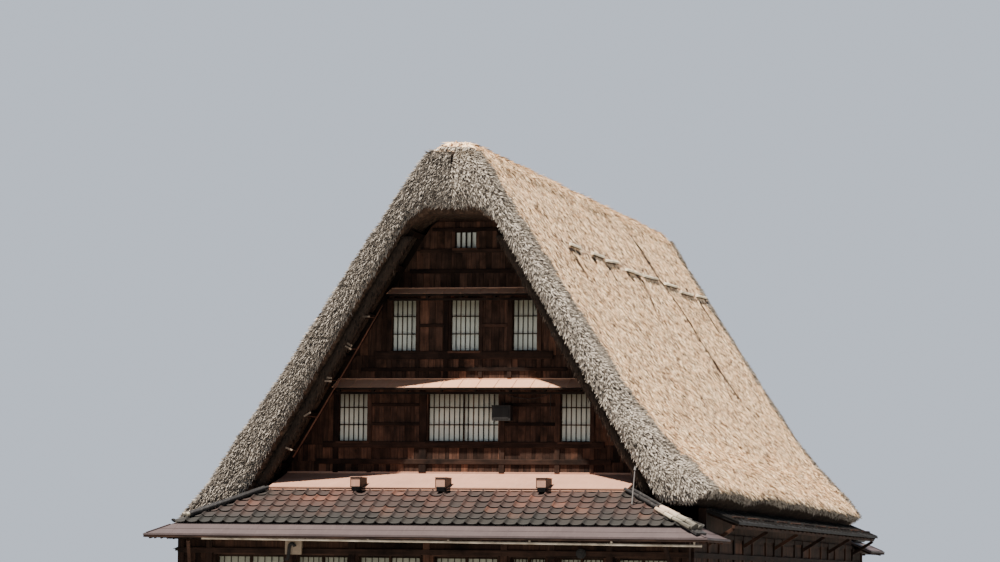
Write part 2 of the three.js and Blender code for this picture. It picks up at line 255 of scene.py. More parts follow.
def woodMaterial(name, dark, light, stretch, seed, bump=0.35, perBoard=True):
    # stretch is small along the grain; the tone attribute shifts each board's colour
    material, s, shader = startMaterial(name, 0.82, 0.0, 0.08)
    place, tone = s.place(), s.layer("tone")
    grain = useGroup(s, grainGroup, Vector=place, Stretch=stretch, Seed=s.math("ADD", s.times(tone, 9.0), seed))
    base = s.ramp(grain["Streak"], [(0.30, dark), (0.72, light)])
    base = s.mix(s.fade(grain["Stain"], 0.40, 0.66), base, shaded(dark, 0.45))
    if perBoard:
        shift = s.ramp(tone, [(0.0, (0.35, 0.33, 0.33)), (0.55, (0.9, 0.86, 0.84)), (0.85, (1.25, 1.15, 1.08)),
                              (1.0, (1.9, 1.6, 1.4))])
        base = s.mix(1.0, base, shift, "MULTIPLY")
    s.coat(shader, base, grain["Height"], bump, 0.006)
    return material


def metalMaterial(name, clean, dull, dust, roughness, metallic=0.0):
    material, s, shader = startMaterial(name, roughness, metallic, 0.2)
    marks = useGroup(s, weatherGroup, Vector=s.place(), Size=1.0)
    base = s.mix(s.fade(marks["Patch"], 0.35, 0.65), clean, dull)
    base = s.mix(s.times(s.fade(marks["Run"], 0.5, 0.75), 0.35), base, dust)
    base = s.mix(s.times(s.fade(marks["Speck"], 0.62, 0.72), 0.5), base, shaded(dull, 0.5))
    s.put(shader.inputs["Roughness"], s.math("ADD", s.times(marks["Patch"], 0.35), roughness - 0.17))
    s.coat(shader, base, marks["Patch"], 0.25, 0.02)
    return material


def strawMaterial(name, pale, mid, dark, scale, contrast):
    # Straw on the piece's own UV in metres, with as many flecks a metre as scale says across and down
    material, s, shader = startMaterial(name, 0.92, 0.0, 0.15)
    uv = s.node("ShaderNodeUVMap", uv_map="metres").outputs[0]
    stretched = s.node("ShaderNodeMapping", {"Vector": uv, "Scale": (*scale, 1.0)}).outputs[0]
    fleck = s.noise(stretched, 1.0, 4.0, 0.56)
    coarse = s.noise(stretched, 0.23, 4.0, 0.6)
    wide = s.noise(uv, 0.5, 5.0, 0.62)
    base = s.ramp(fleck, [(0.5 - contrast, dark), (0.5, mid), (0.5 + contrast, pale)])
    base = s.mix(1.0, base, s.ramp(coarse, [(0.35, (0.62, 0.60, 0.60)), (0.6, (1.0, 1.0, 1.0))]), "MULTIPLY")
    base = s.mix(1.0, base, s.ramp(wide, [(0.35, (0.80, 0.80, 0.82)), (0.65, (1.10, 1.05, 0.98))]), "MULTIPLY")
    # Painted shade in the seams down the slope
    base = s.mix(s.times(s.layer("seamShade"), 0.9), base, shaded(dark, 0.6))
    s.coat(shader, base, s.math("ADD", fleck, s.times(coarse, 0.8)), 1.0, 0.045)
    return material


def tuftMaterial(name, pale, mid, dark):
    # One tone for each straw tuft, with a little grain
    material, s, shader = startMaterial(name, 0.9, 0.0, 0.2)
    tone = s.layer("tone")
    grain = s.noise(s.place(), 60.0, 2.0)
    base = s.ramp(tone, [(0.0, dark), (0.20, dark), (0.40, mid), (0.75, pale)])
    s.coat(shader, s.mix(s.times(grain, 0.3), base, mid), grain, 0.3, 0.004)
    return material


slopeStraw = strawMaterial("slopeStraw", (1.0, 0.78, 0.52), (0.64, 0.40, 0.245), (0.045, 0.027, 0.017),
                           (7.0, 8.0), 0.060)
cutStraw = strawMaterial("cutStraw", (0.38, 0.33, 0.275), (0.18, 0.152, 0.128), (0.021, 0.018, 0.015),
                         (30.0, 22.0), 0.12)
underStraw = strawMaterial("underStraw", (0.10, 0.07, 0.05), (0.045, 0.030, 0.022), (0.012, 0.009, 0.007),
                           (20.0, 9.0), 0.2)
slopeTuft = tuftMaterial("slopeTuft", (1.0, 0.80, 0.55), (0.80, 0.55, 0.35), (0.040, 0.025, 0.017))
cutTufts = {
    "Right": tuftMaterial("cutTuft", (0.60, 0.54, 0.47), (0.28, 0.243, 0.206), (0.036, 0.030, 0.026)),
    # The left verge gets a darker copy: painted shade
    "Left": tuftMaterial("paintedShadeTuft", (0.37, 0.333, 0.296), (0.17, 0.149, 0.129), (0.028, 0.024, 0.021)),
}
# Near-black straw for the verge bundles: painted shade
shadeTuft = tuftMaterial("shadeTuft", (0.050, 0.034, 0.025), (0.022, 0.015, 0.011), (0.008, 0.006, 0.005))
print("shared effects and straw materials made")


# Small tools for meshes
def plainMesh(name, bm):
    mesh = bpy.data.meshes.new(name)
    bm.to_mesh(mesh)
    bm.free()
    return mesh


def finishMesh(name, bm, materials, smooth=False):
    bm.normal_update()
    return finishObject(name, plainMesh(name, bm), materials, smooth)


def finishObject(name, mesh, materials, smooth=False):
    mesh.name = name
    # Clearing also resets the faces' material index, so an empty list is left alone
    if len(mesh.materials):
        mesh.materials.clear()
    for material in materials:
        mesh.materials.append(material)
    if smooth:
        mesh.polygons.foreach_set("use_smooth", [True] * len(mesh.polygons))
    piece = bpy.data.objects.new(name, mesh)
    scene.collection.objects.link(piece)
    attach(piece, "root")
    print("piece", name, sum(len(p.vertices) - 2 for p in mesh.polygons), "triangles")
    return piece


def polyline(points, count):
    # Points at equal steps along a line, each with the length so far
    lengths = [0.0]
    for a, b in zip(points, points[1:]):
        lengths.append(lengths[-1] + math.dist(a, b))
    result = []
    k = 0
    for i in range(count + 1):
        at = lengths[-1] * i / count
        while k < len(points) - 2 and lengths[k + 1] < at:
            k += 1
        part = (at - lengths[k]) / (lengths[k + 1] - lengths[k])
        result.append((points[k][0] + (points[k + 1][0] - points[k][0]) * part,
                       points[k][1] + (points[k + 1][1] - points[k][1]) * part, at))
    return result


# Thatch halves
thatch = {
    "verge": 10.665, "stepsUp": 74, "stepsAlong": 160, "stepsThick": 10,
    "edgeSteps": (0.0, 0.015, 0.04, 0.075, 0.12, 0.18, 0.25, 0.33, 0.42),
    "cornerRound": {"right": 0.40, "left": 0.13}, "cutEdge": {"right": 0.46, "left": 0.07},
    # The belly of the verge and how far it falls back; the bulge of a slope, with its middle and reach down it
    "belly": 0.44, "recess": 0.32, "bulge": {"right": 0.0, "left": 0.10}, "bulgeAt": (4.6, 4.4),
    "seed": {"right": 3.7, "left": 11.2},
    # Broad waves, ridges down the slope and shaggy small noise: height, waves a metre down and along, seed
    "rough": ((0.035, 0.45, 0.45, 0.0), (0.022, 1.1, 3.2, 5.0), (0.016, 5.0, 11.0, 9.0)),
    "footStart": 0.86, "footWave": 0.06, "backSag": 0.10, "shag": 0.030,
    "outer": ((0.0, 10.88), (0.5, 10.88), (0.99, 10.12), (2.15, 8.30), (3.0, 6.98), (3.74, 5.88), (4.37, 5.06)),
    "outerRight": ((5.05, 4.45), (5.36, 4.12), (5.47, 3.98)),
    "outerLeft": ((5.13, 3.96), (5.52, 3.56), (5.84, 3.16)),
    "inner": ((0.0, 9.60), (0.54, 9.62), (0.93, 9.392), (4.31, 3.71)),
    "innerRight": ((4.71, 3.64), (4.96, 3.66)),
    "innerLeft": ((4.60, 3.58),),
}
# Rods pinned across the slopes: place along the house, half length, rise to the far end, height
rods = {
    "places": (
        (-5.64, 0.49, 0.0, 9.392), (-3.24, 0.63, 0.02, 9.402), (-1.84, 0.80, 0.10, 9.38), (0.52, 0.90, 0.02, 9.33),
        (2.68, 0.95, 0.08, 9.386), (5.29, 0.83, 0.05, 9.407), (7.18, 0.88, 0.05, 9.348), (9.54, 0.78, 0.06, 9.448),
    ),
    # Run down the slope, radius of a rod, and of the near-black stick under it that paints its shadow
    "run": 2.27, "radius": 0.034, "under": 0.009,
    # A point of the slope with its sideways step for each metre of fall, and the direction down it
    "slope": (0.99, 10.12, 1.16 / 1.82), "fall": (0.537, 0.843),
    # How far the straw is bare before, behind and beside a rod
    "bare": (1.0, 0.1, 0.14),
}
# Seams down the slopes, dented and darkened with painted shade: width, then places as distance down from the ridge
# and place along the house
seams = {
    "lines": (
        (1.7, ((2.47, -6.20), (3.20, -6.20))), (1.0, ((2.32, -3.70), (2.65, -3.96))),
        (1.0, ((2.42, -2.54), (2.93, -2.41))), (0.9, ((2.46, -0.12), (2.70, 0.14))),
        (1.1, ((2.47, 1.50), (3.50, 0.50))),
        (2.2, ((0.99, 3.92), (1.30, 4.26), (1.68, 4.24), (2.39, 4.27), (2.77, 4.70), (3.43, 4.82), (3.93, 4.71),
               (4.82, 4.79), (5.62, 5.12))),
        (1.8, ((2.35, 8.96), (3.43, 9.03))),
    ),
    # Columns of the mesh beside a seam, each with its share of the depth and of the painted shade
    "columns": ((-0.60, 0.0, 0.0), (-0.30, 0.5, 0.05), (-0.12, 0.8, 0.75), (-0.03, 1.0, 1.0), (0.012, 0.9, 1.0),
                (0.04, 0.0, 1.0), (0.08, 0.0, 0.0)),
    # Depth, and the lengths over which a seam opens at its head and closes at its foot
    "depth": 0.095, "opens": 0.12, "closes": 0.30,
}


def seamShape(line):
    # Middle of a seam along the house, how far it wanders and the width of the straw that wanders with it
    ys = [y for _, y in line]
    middle = (min(ys) + max(ys)) / 2
    return middle, max(0.5, 2.2 * (max(ys) - middle))


def seamAt(line, run):
    # Place along the house at a run, and how open the seam is there
    y = line[0][1]
    for (a, ya), (b, yb) in zip(line, line[1:]):
        if run > a:
            y = ya + (yb - ya) * min(1.0, (run - a) / (b - a))
    fade = min((run - line[0][0]) / seams["opens"] + 0.5, (line[-1][0] - run) / seams["closes"] + 0.4)
    return y, max(0.0, min(1.0, fade))


def seamColumns(spans):
    # Puts the columns of every seam among the even ones
    own = {}
    for width, line in seams["lines"]:
        middle = seamShape(line)[0]
        for offset, deep, dark in seams["columns"]:
            own[middle + offset * width] = (line, deep, dark)
    kept = [y for y in spans if all(abs(y - other) > 0.04 for other in own)]
    return sorted(kept + list(own)), own


def thatchHalf(side):
    right, label, seed = side == "right", side.capitalize(), thatch["seed"][side]
    sign = 1.0 if right else -1.0
    up, along, thick = thatch["stepsUp"], thatch["stepsAlong"], thatch["stepsThick"]
    outer = polyline(thatch["outer"] + thatch["outer" + label], up)
    inner = polyline(thatch["inner"] + thatch["inner" + label], up)
    bm = bmesh.new()
    uvLayer = bm.loops.layers.uv.new("metres")
    seamShadeLayer = bm.verts.layers.float.new("seamShade")
    bareLayer = bm.verts.layers.float.new("bare")
    end = thatch["verge"]
    edges = thatch["edgeSteps"]
    inside = end - edges[-1]
    middle, seamed = seamColumns([-inside + 2.0 * inside * j / along for j in range(along + 1)])
    spans = [-end + e for e in edges[:-1]] + middle + [end - e for e in reversed(edges[:-1])]
    along = len(spans) - 1
    before, behind, beside = rods["bare"]
    bulgeRun, bulgeReach = thatch["bulgeAt"]

    def place(i, j, t):
        # i runs from ridge to foot, j along the house, t from underside to outside
        ox, oz, run = outer[i]
        ix, iz, _ = inner[i]
        column = y = spans[j]
        for _, line in seams["lines"]:
            middleY, reach = seamShape(line)
            near = abs(column - middleY) / reach
            if near < 1.0:
                y += (seamAt(line, run)[0] - middleY) * (1.0 - near * near) ** 2
        gap = end - abs(y)
        radius = thatch["cornerRound"][side] * (0.7 + 0.6 * noise.noise(Vector((run * 1.3, seed, y * 0.1))))
        drop = 0.0
        if gap < radius and t > 0.5:
            drop = radius * (1.0 - math.sqrt(max(0.0, 1.0 - (1.0 - gap / radius) ** 2)))
        dx, dz = ox - ix, oz - iz
        length = max(0.05, math.hypot(dx, dz))
        rough = sum(height * noise.noise(Vector((run * down, y * across, seed + own)))
                    for height, down, across, own in thatch["rough"])
        rough += thatch["bulge"][side] * max(0.0, 1.0 - ((run - bulgeRun) / bulgeReach) ** 2)
        seamShade = bare = 0.0
        if t > 0.5:
            for rod, half, _, _ in rods["places"]:
                if -half - before < y - rod < half + behind and abs(run - rods["run"]) < beside:
                    bare = 1.0
            if column in seamed:
                line, deep, dark = seamed[column]
                fade = seamAt(line, run)[1]
                rough -= seams["depth"] * deep * fade
                seamShade = dark * fade
        if bare:
            rough *= 0.3
        out = (length - drop) * t + (rough if t > 0.05 else rough * 0.4) * (1.0 if t > 0.5 else 0.5)
        x = ix + dx / length * out
        z = iz + dz / length * out
        # The eaves lie in soft waves, and the right one sags a little towards the back
        foot = max(0.0, (run / outer[-1][2] - thatch["footStart"]) / (1.0 - thatch["footStart"]))
        sag = thatch["footWave"] * foot * noise.noise(Vector((y * 0.35, 4.0, seed)))
        if right:
            sag -= thatch["backSag"] * foot * max(0.0, y / end)
        z += sag
        if gap < 1e-6:
            shag = thatch["shag"] * noise.noise(Vector((run * 7.0, t * 6.0, seed + math.copysign(3.0, y))))
            y += math.copysign(shag - 0.02, y)
        # The verge is round like a bundle: its inner part falls back into the gable
        if t < thatch["belly"] and gap < 1.0:
            fall = 1.0 - math.sqrt(max(0.0, 1.0 - (1.0 - t / thatch["belly"]) ** 2))
            y -= math.copysign(thatch["recess"] * fall * (1.0 - gap), y)
        return Vector((sign * max(0.0, x), y, z)), seamShade, bare

    cache = {}

    def vertex(key):
        if key not in cache:
            i, j, k = key
            spot, seamShade, bare = place(i, j, k / thick)
            made = bm.verts.new(spot)
            made[seamShadeLayer], made[bareLayer] = seamShade, bare
            cache[key] = made
        return cache[key]

    def quad(keyAt, u0, u1, v0, v1, look, flip=False):
        # keyAt turns a step across and a step down into the place of a corner
        uvs = [(u0, v0), (u1, v0), (u1, v1), (u0, v1)]
        keys = [keyAt(u, v) for u, v in ((0, 0), (1, 0), (1, 1), (0, 1))]
        if flip:
            keys.reverse()
            uvs.reverse()
        corners = [vertex(key) for key in keys]
        if not right:
            corners.reverse()
            uvs.reverse()
        face = bm.faces.new(corners)
        face.material_index = look
        for loop, uv in zip(face.loops, uvs):
            loop[uvLayer].uv = uv

    for i in range(up):
        a, b = outer[i][2], outer[i + 1][2]
        for j in range(along):
            y0, y1 = spans[j], spans[j + 1]
            # The cut ends of the verge run out softly onto the slope
            ragged = thatch["cutEdge"][side] * (1.0 + 0.9 * noise.noise(Vector((a * 2.6, y0 * 4.0, seed + 2.0))))
            look = 1 if end - max(abs(y0), abs(y1)) < ragged else 0
            quad(lambda u, v: (i + v, j + u, thick), y0, y1, a, b, look, flip=True)
            quad(lambda u, v: (i + v, j + u, 0), y0, y1, a, b, 2)
        for k in range(thick):
            t0, t1 = k / thick * 0.6, (k + 1) / thick * 0.6
            look = 1 if k > 0 else 2
            quad(lambda u, v: (i + v, 0, k + u), t0, t1, a, b, look, flip=True)
            quad(lambda u, v: (i + v, along, k + u), t0 + 5, t1 + 5, a, b, look)
    for j in range(along):
        y0, y1 = spans[j], spans[j + 1]
        for k in range(thick):
            t0, t1 = k / thick * 0.7, (k + 1) / thick * 0.7
            quad(lambda u, v: (up, j + u, k + v), y0, y1, t0, t1, 1 if k > thick // 2 else 2)
            quad(lambda u, v: (0, j + u, k + v), y0, y1, t0, t1, 2, flip=True)
    bmesh.ops.remove_doubles(bm, verts=bm.verts, dist=1e-5)
    bmesh.ops.recalc_face_normals(bm, faces=bm.faces)
    piece = finishMesh("thatch" + label, bm, [slopeStraw, cutStraw, underStraw], smooth=True)
    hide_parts("thatch_" + side)
    return piece


thatchRight = thatchHalf("right")
thatchLeft = thatchHalf("left")
print("thatch halves made")


# Geometry Nodes tools
class Build(Shade):
    # A Geometry Nodes tree with named inputs
    def __init__(self, name, inputs):
        super().__init__(bpy.data.node_groups.new(name, "GeometryNodeTree"))
        self.tree.interface.new_socket("Geometry", in_out="INPUT", socket_type="NodeSocketGeometry")
        addInputs(self.tree, inputs)
        self.tree.interface.new_socket("Geometry", in_out="OUTPUT", socket_type="NodeSocketGeometry")
        self.given = self.tree.nodes.new("NodeGroupInput").outputs
        self.end = self.tree.nodes.new("NodeGroupOutput")

    def vector(self, x=0.0, y=0.0, z=0.0):
        return self.node("ShaderNodeCombineXYZ", {"X": x, "Y": y, "Z": z}).outputs[0]

    def arrow(self, operation, a, b=None, scale=None):
        made = self.node("ShaderNodeVectorMath", operation=operation)
        for index, value in ((0, a), (1, b), (3, scale)):
            if value is not None:
                self.put(made.inputs[index], value)
        return made.outputs["Value"] if operation == "DOT_PRODUCT" else made.outputs["Vector"]

    def chance(self, low, high, seed):
        made = self.node("FunctionNodeRandomValue", {2: low, 3: high, "Seed": seed}, data_type="FLOAT")
        return made.outputs[1]

    def chanceVector(self, reach, seed):
        low = tuple(-v for v in reach)
        return self.node("FunctionNodeRandomValue", {0: low, 1: reach, "Seed": seed},
                         data_type="FLOAT_VECTOR").outputs[0]

    def line(self, count, start, step):
        return self.node("GeometryNodeMeshLine", {"Count": count, "Start Location": start, "Offset": step},
                         mode="OFFSET").outputs[0]

    def spread(self, points, instance, inputs=None):
        return self.node("GeometryNodeInstanceOnPoints", {"Points": points, "Instance": instance,
                         **(inputs or {})}).outputs[0]

    def real(self, geometry):
        return self.node("GeometryNodeRealizeInstances", {"Geometry": geometry}).outputs[0]

    def toned(self, geometry, seed):
        made = self.node("GeometryNodeStoreNamedAttribute", {"Geometry": geometry, "Name": "tone"},
                         data_type="FLOAT", domain="INSTANCE")
        self.put(made.inputs["Value"], self.chance(0.0, 1.0, seed))
        return made.outputs[0]

    def close(self, geometry, material):
        painted = self.node("GeometryNodeSetMaterial", {"Geometry": self.real(geometry), "Material": material})
        self.tree.links.new(painted.outputs[0], self.end.inputs[0])
        return self.tree


def runTree(tree, values, mesh=None):
    # Evaluates a tree on a mesh and gives back the plain result
    start = bpy.data.objects.new("treeStart", mesh or bpy.data.meshes.new("empty"))
    scene.collection.objects.link(start)
    modifier = start.modifiers.new("tree", "NODES")
    modifier.node_group = tree
    for item in tree.interface.items_tree:
        if item.item_type == "SOCKET" and item.in_out == "INPUT" and item.name in values:
            modifier[item.identifier] = values[item.name]
    start.update_tag()
    bpy.context.view_layer.update()
    ready = start.evaluated_get(bpy.context.evaluated_depsgraph_get())
    result = bpy.data.meshes.new_from_object(ready)
    start.modifiers.remove(modifier)
    bpy.data.objects.remove(start)
    return result


def makeTuftTree():
    # Straw bundles scattered over a surface, lying down its slope
    g = Build("strawTufts", {
        "Density": 60.0, "Length": 0.16, "Width": 0.012, "Lift": 0.12, "Spread": 0.25, "Seed": 1,
        "Fall": (0.0, 0.0, -1.0), "Straw": None,
    })
    given = g.given
    spots = g.node("GeometryNodeDistributePointsOnFaces", {"Mesh": given["Geometry"], "Density": given["Density"],
                   "Seed": given["Seed"]})
    normal = spots.outputs["Normal"]
    along = g.arrow("DOT_PRODUCT", given["Fall"], normal)
    fall = g.arrow("NORMALIZE", g.arrow("SUBTRACT", given["Fall"], g.arrow("SCALE", normal, scale=along)))
    lifted = g.arrow("ADD", fall, g.arrow("SCALE", normal, scale=given["Lift"]))
    loose = g.arrow("SCALE", g.chanceVector((1.0, 1.0, 1.0), 11), scale=given["Spread"])
    turn = g.node("FunctionNodeAlignRotationToVector", {"Vector": g.arrow("ADD", lifted, loose)}, axis="Z").outputs[0]
    blade = g.node("GeometryNodeMeshCone", {"Vertices": 3, "Radius Top": 0.0, "Radius Bottom": 1.0, "Depth": 1.0},
                   fill_type="NONE").outputs["Mesh"]
    size = g.vector(given["Width"], given["Width"], given["Length"])
    varied = g.arrow("SCALE", size, scale=g.chance(0.55, 1.5, 12))
    placed = g.spread(spots.outputs["Points"], blade, {"Rotation": turn, "Scale": varied})
    return g.close(g.toned(placed, 13), given["Straw"])


tuftTree = makeTuftTree()


def facesAsMesh(piece, keep):
    # A copy of a piece's mesh with only the faces that keep() accepts, and none in the seams or beside the rods
    bm = bmesh.new()
    bm.from_mesh(piece.data)
    layers = [layer for layer in (bm.verts.layers.float.get(name) for name in ("seamShade", "bare")) if layer]

    def covered(face):
        return keep(face) and all(corner[layer] < 0.35 for layer in layers for corner in face.verts)

    bmesh.ops.delete(bm, geom=[f for f in bm.faces if not covered(f)], context="FACES")
    return plainMesh("tuftGround", bm)


def addTufts(name, piece, keep, values, material):
    mesh = runTree(tuftTree, {**values, "Straw": material}, facesAsMesh(piece, keep))
    return finishObject(name, mesh, [material])


tufts = {
    "slope": {"Density": 265.0, "Length": 0.11, "Width": 0.0085, "Lift": 0.10, "Spread": 0.22},
    "cut": {"Density": 2100.0, "Length": 0.075, "Width": 0.0098, "Lift": 0.9, "Spread": 0.5},
    "eave": {"Density": 800.0, "Length": 0.085, "Width": 0.009, "Lift": 0.5, "Spread": 0.35},
}


def onVerge(face):
    return abs(face.normal.y) > 0.25 or face.normal.z > 0.2


for number, (label, piece) in enumerate((("Right", thatchRight), ("Left", thatchLeft))):
    sign = 1.0 if label == "Right" else -1.0
    fall = {"Fall": (sign * 0.53, 0.0, -0.85), "Seed": 21 + number}
    addTufts("slopeStraw" + label, piece, lambda f: f.material_index == 0 and f.normal.z > 0.2,
             {**tufts["slope"], **fall}, slopeTuft)
    addTufts("vergeStraw" + label, piece, lambda f: f.material_index == 1 and onVerge(f),
             {**tufts["cut"], **fall}, cutTufts[label])
    addTufts("eaveStraw" + label, piece, lambda f: f.material_index == 1 and not onVerge(f),
             {**tufts["eave"], **fall}, cutTufts["Right"])
print("straw tufts made")


# Ridge
ridge = {
    "end": 10.30, "steps": 150, "around": 56, "softEnd": 0.35, "softDrop": 0.45, "crownFoot": 10.87,
    "top": ((0.0, 11.15), (0.20, 11.135), (0.34, 11.07), (0.43, 10.985), (0.53, 10.85), (0.60, 10.745)),
    "under": ((0.56, 10.74), (0.46, 10.87), (0.0, 10.87)),
    "straw": {"Density": 230.0, "Length": 0.13, "Width": 0.010, "Lift": 0.10, "Spread": 0.25, "Seed": 31},
    "endStraw": {"Density": 1500.0, "Length": 0.09, "Width": 0.009, "Lift": 1.4, "Spread": 0.6, "Seed": 32},
}


def ridgeThatch():
    loop = [*ridge["top"], *ridge["under"]]
    loop = loop + [(-x, z) for x, z in reversed(loop[1:-1])]
    closed = polyline(loop + [loop[0]], ridge["around"])[:-1]
    outside = sum(math.dist(a, b) for a, b in zip(ridge["top"], ridge["top"][1:]))
    whole = closed[-1][2] + closed[1][2]
    bm = bmesh.new()
    uvLayer = bm.loops.layers.uv.new("metres")
    rings = []
    steps, end, crownFoot = ridge["steps"], ridge["end"], ridge["crownFoot"]
    for j in range(steps + 1):
        y = -end + 2 * end * j / steps
        # The crown falls away softly towards each end
        soft = 1.0 - ridge["softDrop"] * max(0.0, 1.0 - (end - abs(y)) / ridge["softEnd"]) ** 2
        ring = []
        for x, z, run in closed:
            if outside < run < whole - outside:
                ring.append(bm.verts.new((x, y, z)))
                continue
            rough = 0.026 * noise.noise(Vector((x * 3.0, y * 1.2, z * 3.0)))
            rough += 0.018 * noise.noise(Vector((x * 9.0, y * 5.5, z * 9.0 + 7.0)))
            outward = Vector((x, 0.0, (z - 10.6) * 1.4)).normalized()
            high = crownFoot + (z - crownFoot) * soft if z > crownFoot else z
            ring.append(bm.verts.new((x + outward.x * rough, y, high + outward.z * rough)))
        rings.append(ring)
    count = len(closed)
    for a, b in zip(rings, rings[1:]):
        for i in range(count):
            k = (i + 1) % count
            face = bm.faces.new((a[i], a[k], b[k], b[i]))
            run = closed[i][2]
            face.material_index = 2 if outside < run + 0.01 < whole - outside else 0
            for part, corner, down in zip(face.loops, (a[i], a[k], b[k], b[i]), (run, run + 0.05, run + 0.05, run)):
                part[uvLayer].uv = (corner.co.y, down)
    for ring in (rings[0], rings[-1]):
        cap = bm.faces.new(ring)
        cap.material_index = 1
    bmesh.ops.triangulate(bm, faces=[f for f in bm.faces if len(f.verts) > 4])
    bmesh.ops.recalc_face_normals(bm, faces=bm.faces)
    for face in bm.faces:
        if face.material_index == 1:
            for part in face.loops:
                part[uvLayer].uv = (part.vert.co.x, part.vert.co.z)
    piece = finishMesh("ridgeThatch", bm, [slopeStraw, cutStraw, underStraw], smooth=True)
    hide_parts("ridge_thatch")
    addTufts("ridgeStraw", piece, lambda f: f.material_index == 0 and abs(f.normal.y) < 0.5,
             ridge["straw"], slopeTuft)
    addTufts("ridgeEndStraw", piece, lambda f: f.material_index == 1, ridge["endStraw"], cutTufts["Right"])


ridgeThatch()
print("ridge made")


# Small tools for timber, sheet and tile work
boxFaces = ((0, 1, 3, 2), (4, 6, 7, 5), (0, 4, 5, 1), (2, 3, 7, 6), (0, 2, 6, 4), (1, 5, 7, 3))
# Name and facing of the two gable ends
gableEnds = (("Front", 0), ("Back", 2))


class Timbers:
    # Gathers boards, bars and poles in one mesh, each with its own tone
    # facing turns the front end's places to the other walls: 0 front, 1 right, 2 back, 3 left
    def __init__(self, seed, facing=0):
        self.bm = bmesh.new()
        self.tone = self.bm.verts.layers.float.new("tone")
        self.dice = random.Random(seed)
        self.turn = Matrix.Rotation(facing * math.pi / 2, 4, "Z")

    def solid(self, spots, faces, tone=None):
        tone = self.dice.random() if tone is None else tone
        made = []
        for spot in spots:
            corner = self.bm.verts.new(self.turn @ Vector(spot))
            corner[self.tone] = tone
            made.append(corner)
        for face in faces:
            self.bm.faces.new([made[i] for i in face])

    def box(self, x0, x1, y0, y1, z0, z1, tone=None):
        self.solid([(x, y, z) for x in (x0, x1) for y in (y0, y1) for z in (z0, z1)], boxFaces, tone)

    def bar(self, a, b, width, depth, side=(0.0, 0.0, 1.0), tone=None):
        # Squared bar from a to b, with its depth towards side
        a, b, side = Vector(a), Vector(b), Vector(side)
        along = (b - a).normalized()
        across = along.cross(side).normalized() * (width / 2)
        high = across.cross(along).normalized() * (depth / 2)
        self.solid([p + u + v for p in (a, b) for u in (-across, across) for v in (-high, high)], boxFaces, tone)

    def pole(self, a, b, radius, sides=8, tone=None, taper=1.0, sag=0.0, steps=1):
        a, b = Vector(a), Vector(b)
        along = (b - a).normalized()
        u = along.cross(Vector((0.31, 0.52, 0.79))).normalized()
        v = along.cross(u)
        rings = []
        for k in range(steps + 1):
            t = k / steps
            middle = a.lerp(b, t) - Vector((0.0, 0.0, sag * 4.0 * t * (1.0 - t)))
            r = radius * (1.0 + (taper - 1.0) * t)
            rings.append([middle + (u * math.cos(angle) + v * math.sin(angle)) * r
                          for angle in (2.0 * math.pi * i / sides for i in range(sides))])
        self.tube(rings, tone)

    def tube(self, rings, tone=None):
        # Skin over rings of points, closed at both ends
        sides, last = len(rings[0]), len(rings) - 1
        faces = []
        for k in range(last):
            for i in range(sides):
                j = (i + 1) % sides
                faces.append((k * sides + i, k * sides + j, (k + 1) * sides + j, (k + 1) * sides + i))
        faces += [tuple(range(sides)), tuple(range(last * sides, (last + 1) * sides))]
        self.solid([spot for ring in rings for spot in ring], faces, tone)

    def add(self, mesh, matrix=None):
        # Takes in a mesh that a tree has made
        kept = len(self.bm.verts)
        self.bm.from_mesh(mesh)
        self.bm.verts.ensure_lookup_table()
        bmesh.ops.transform(self.bm, matrix=self.turn @ (matrix or Matrix()), verts=self.bm.verts[kept:])

    def finish(self, name, material, slotName, bevel=0.004, smooth=False):
        bmesh.ops.recalc_face_normals(self.bm, faces=self.bm.faces)
        if bevel:
            sharp = [e for e in self.bm.edges if e.is_manifold and e.calc_face_angle(0.0) > 1.0]
            bmesh.ops.bevel(self.bm, geom=sharp, offset=bevel, segments=1, affect="EDGES", clamp_overlap=True)
        return finishMesh(name, self.bm, [material], smooth=smooth)


# Widths of a board, the gap at each side, the least last board and how far the boards stand proud
boarding = {"widths": (0.09, 0.17), "gap": 0.0015, "least": 0.07, "proud": (-0.002, 0.003)}


def boardRow(t, x0, x1, z0, z1, front, back, holes=(), topAt=None):
    # Upright boards of uneven width from x0 to x1, cut round the holes and along a sloping top
    marks = sorted({x0, x1, *(v for h in holes for v in h[:2] if x0 < v < x1)})
    for left, right in zip(marks, marks[1:]):
        x = left
        while x < right - 0.01:
            width = t.dice.uniform(*boarding["widths"])
            if right - x - width < boarding["least"]:
                width = right - x
            a, b = x + boarding["gap"], x + width - boarding["gap"]
            x += width
            spans = [(z0, z1)]
            for hx0, hx1, hz0, hz1 in holes:
                if a < hx1 and b > hx0:
                    spans = [part for lo, hi in spans for part in ((lo, min(hi, hz0)), (max(lo, hz1), hi))
                             if part[1] - part[0] > 0.01]
            for lo, hi in spans:
                highs = [min(hi, topAt(u)) if topAt else hi for u in (a, b)]
                if min(highs) < lo + 0.02:
                    continue
                proud = front + t.dice.uniform(*boarding["proud"])
                spots = [(u, v, w) for u, top in ((a, highs[0]), (b, highs[1])) for v in (proud, back)
                         for w in (lo, top)]
                t.solid(spots, boxFaces)


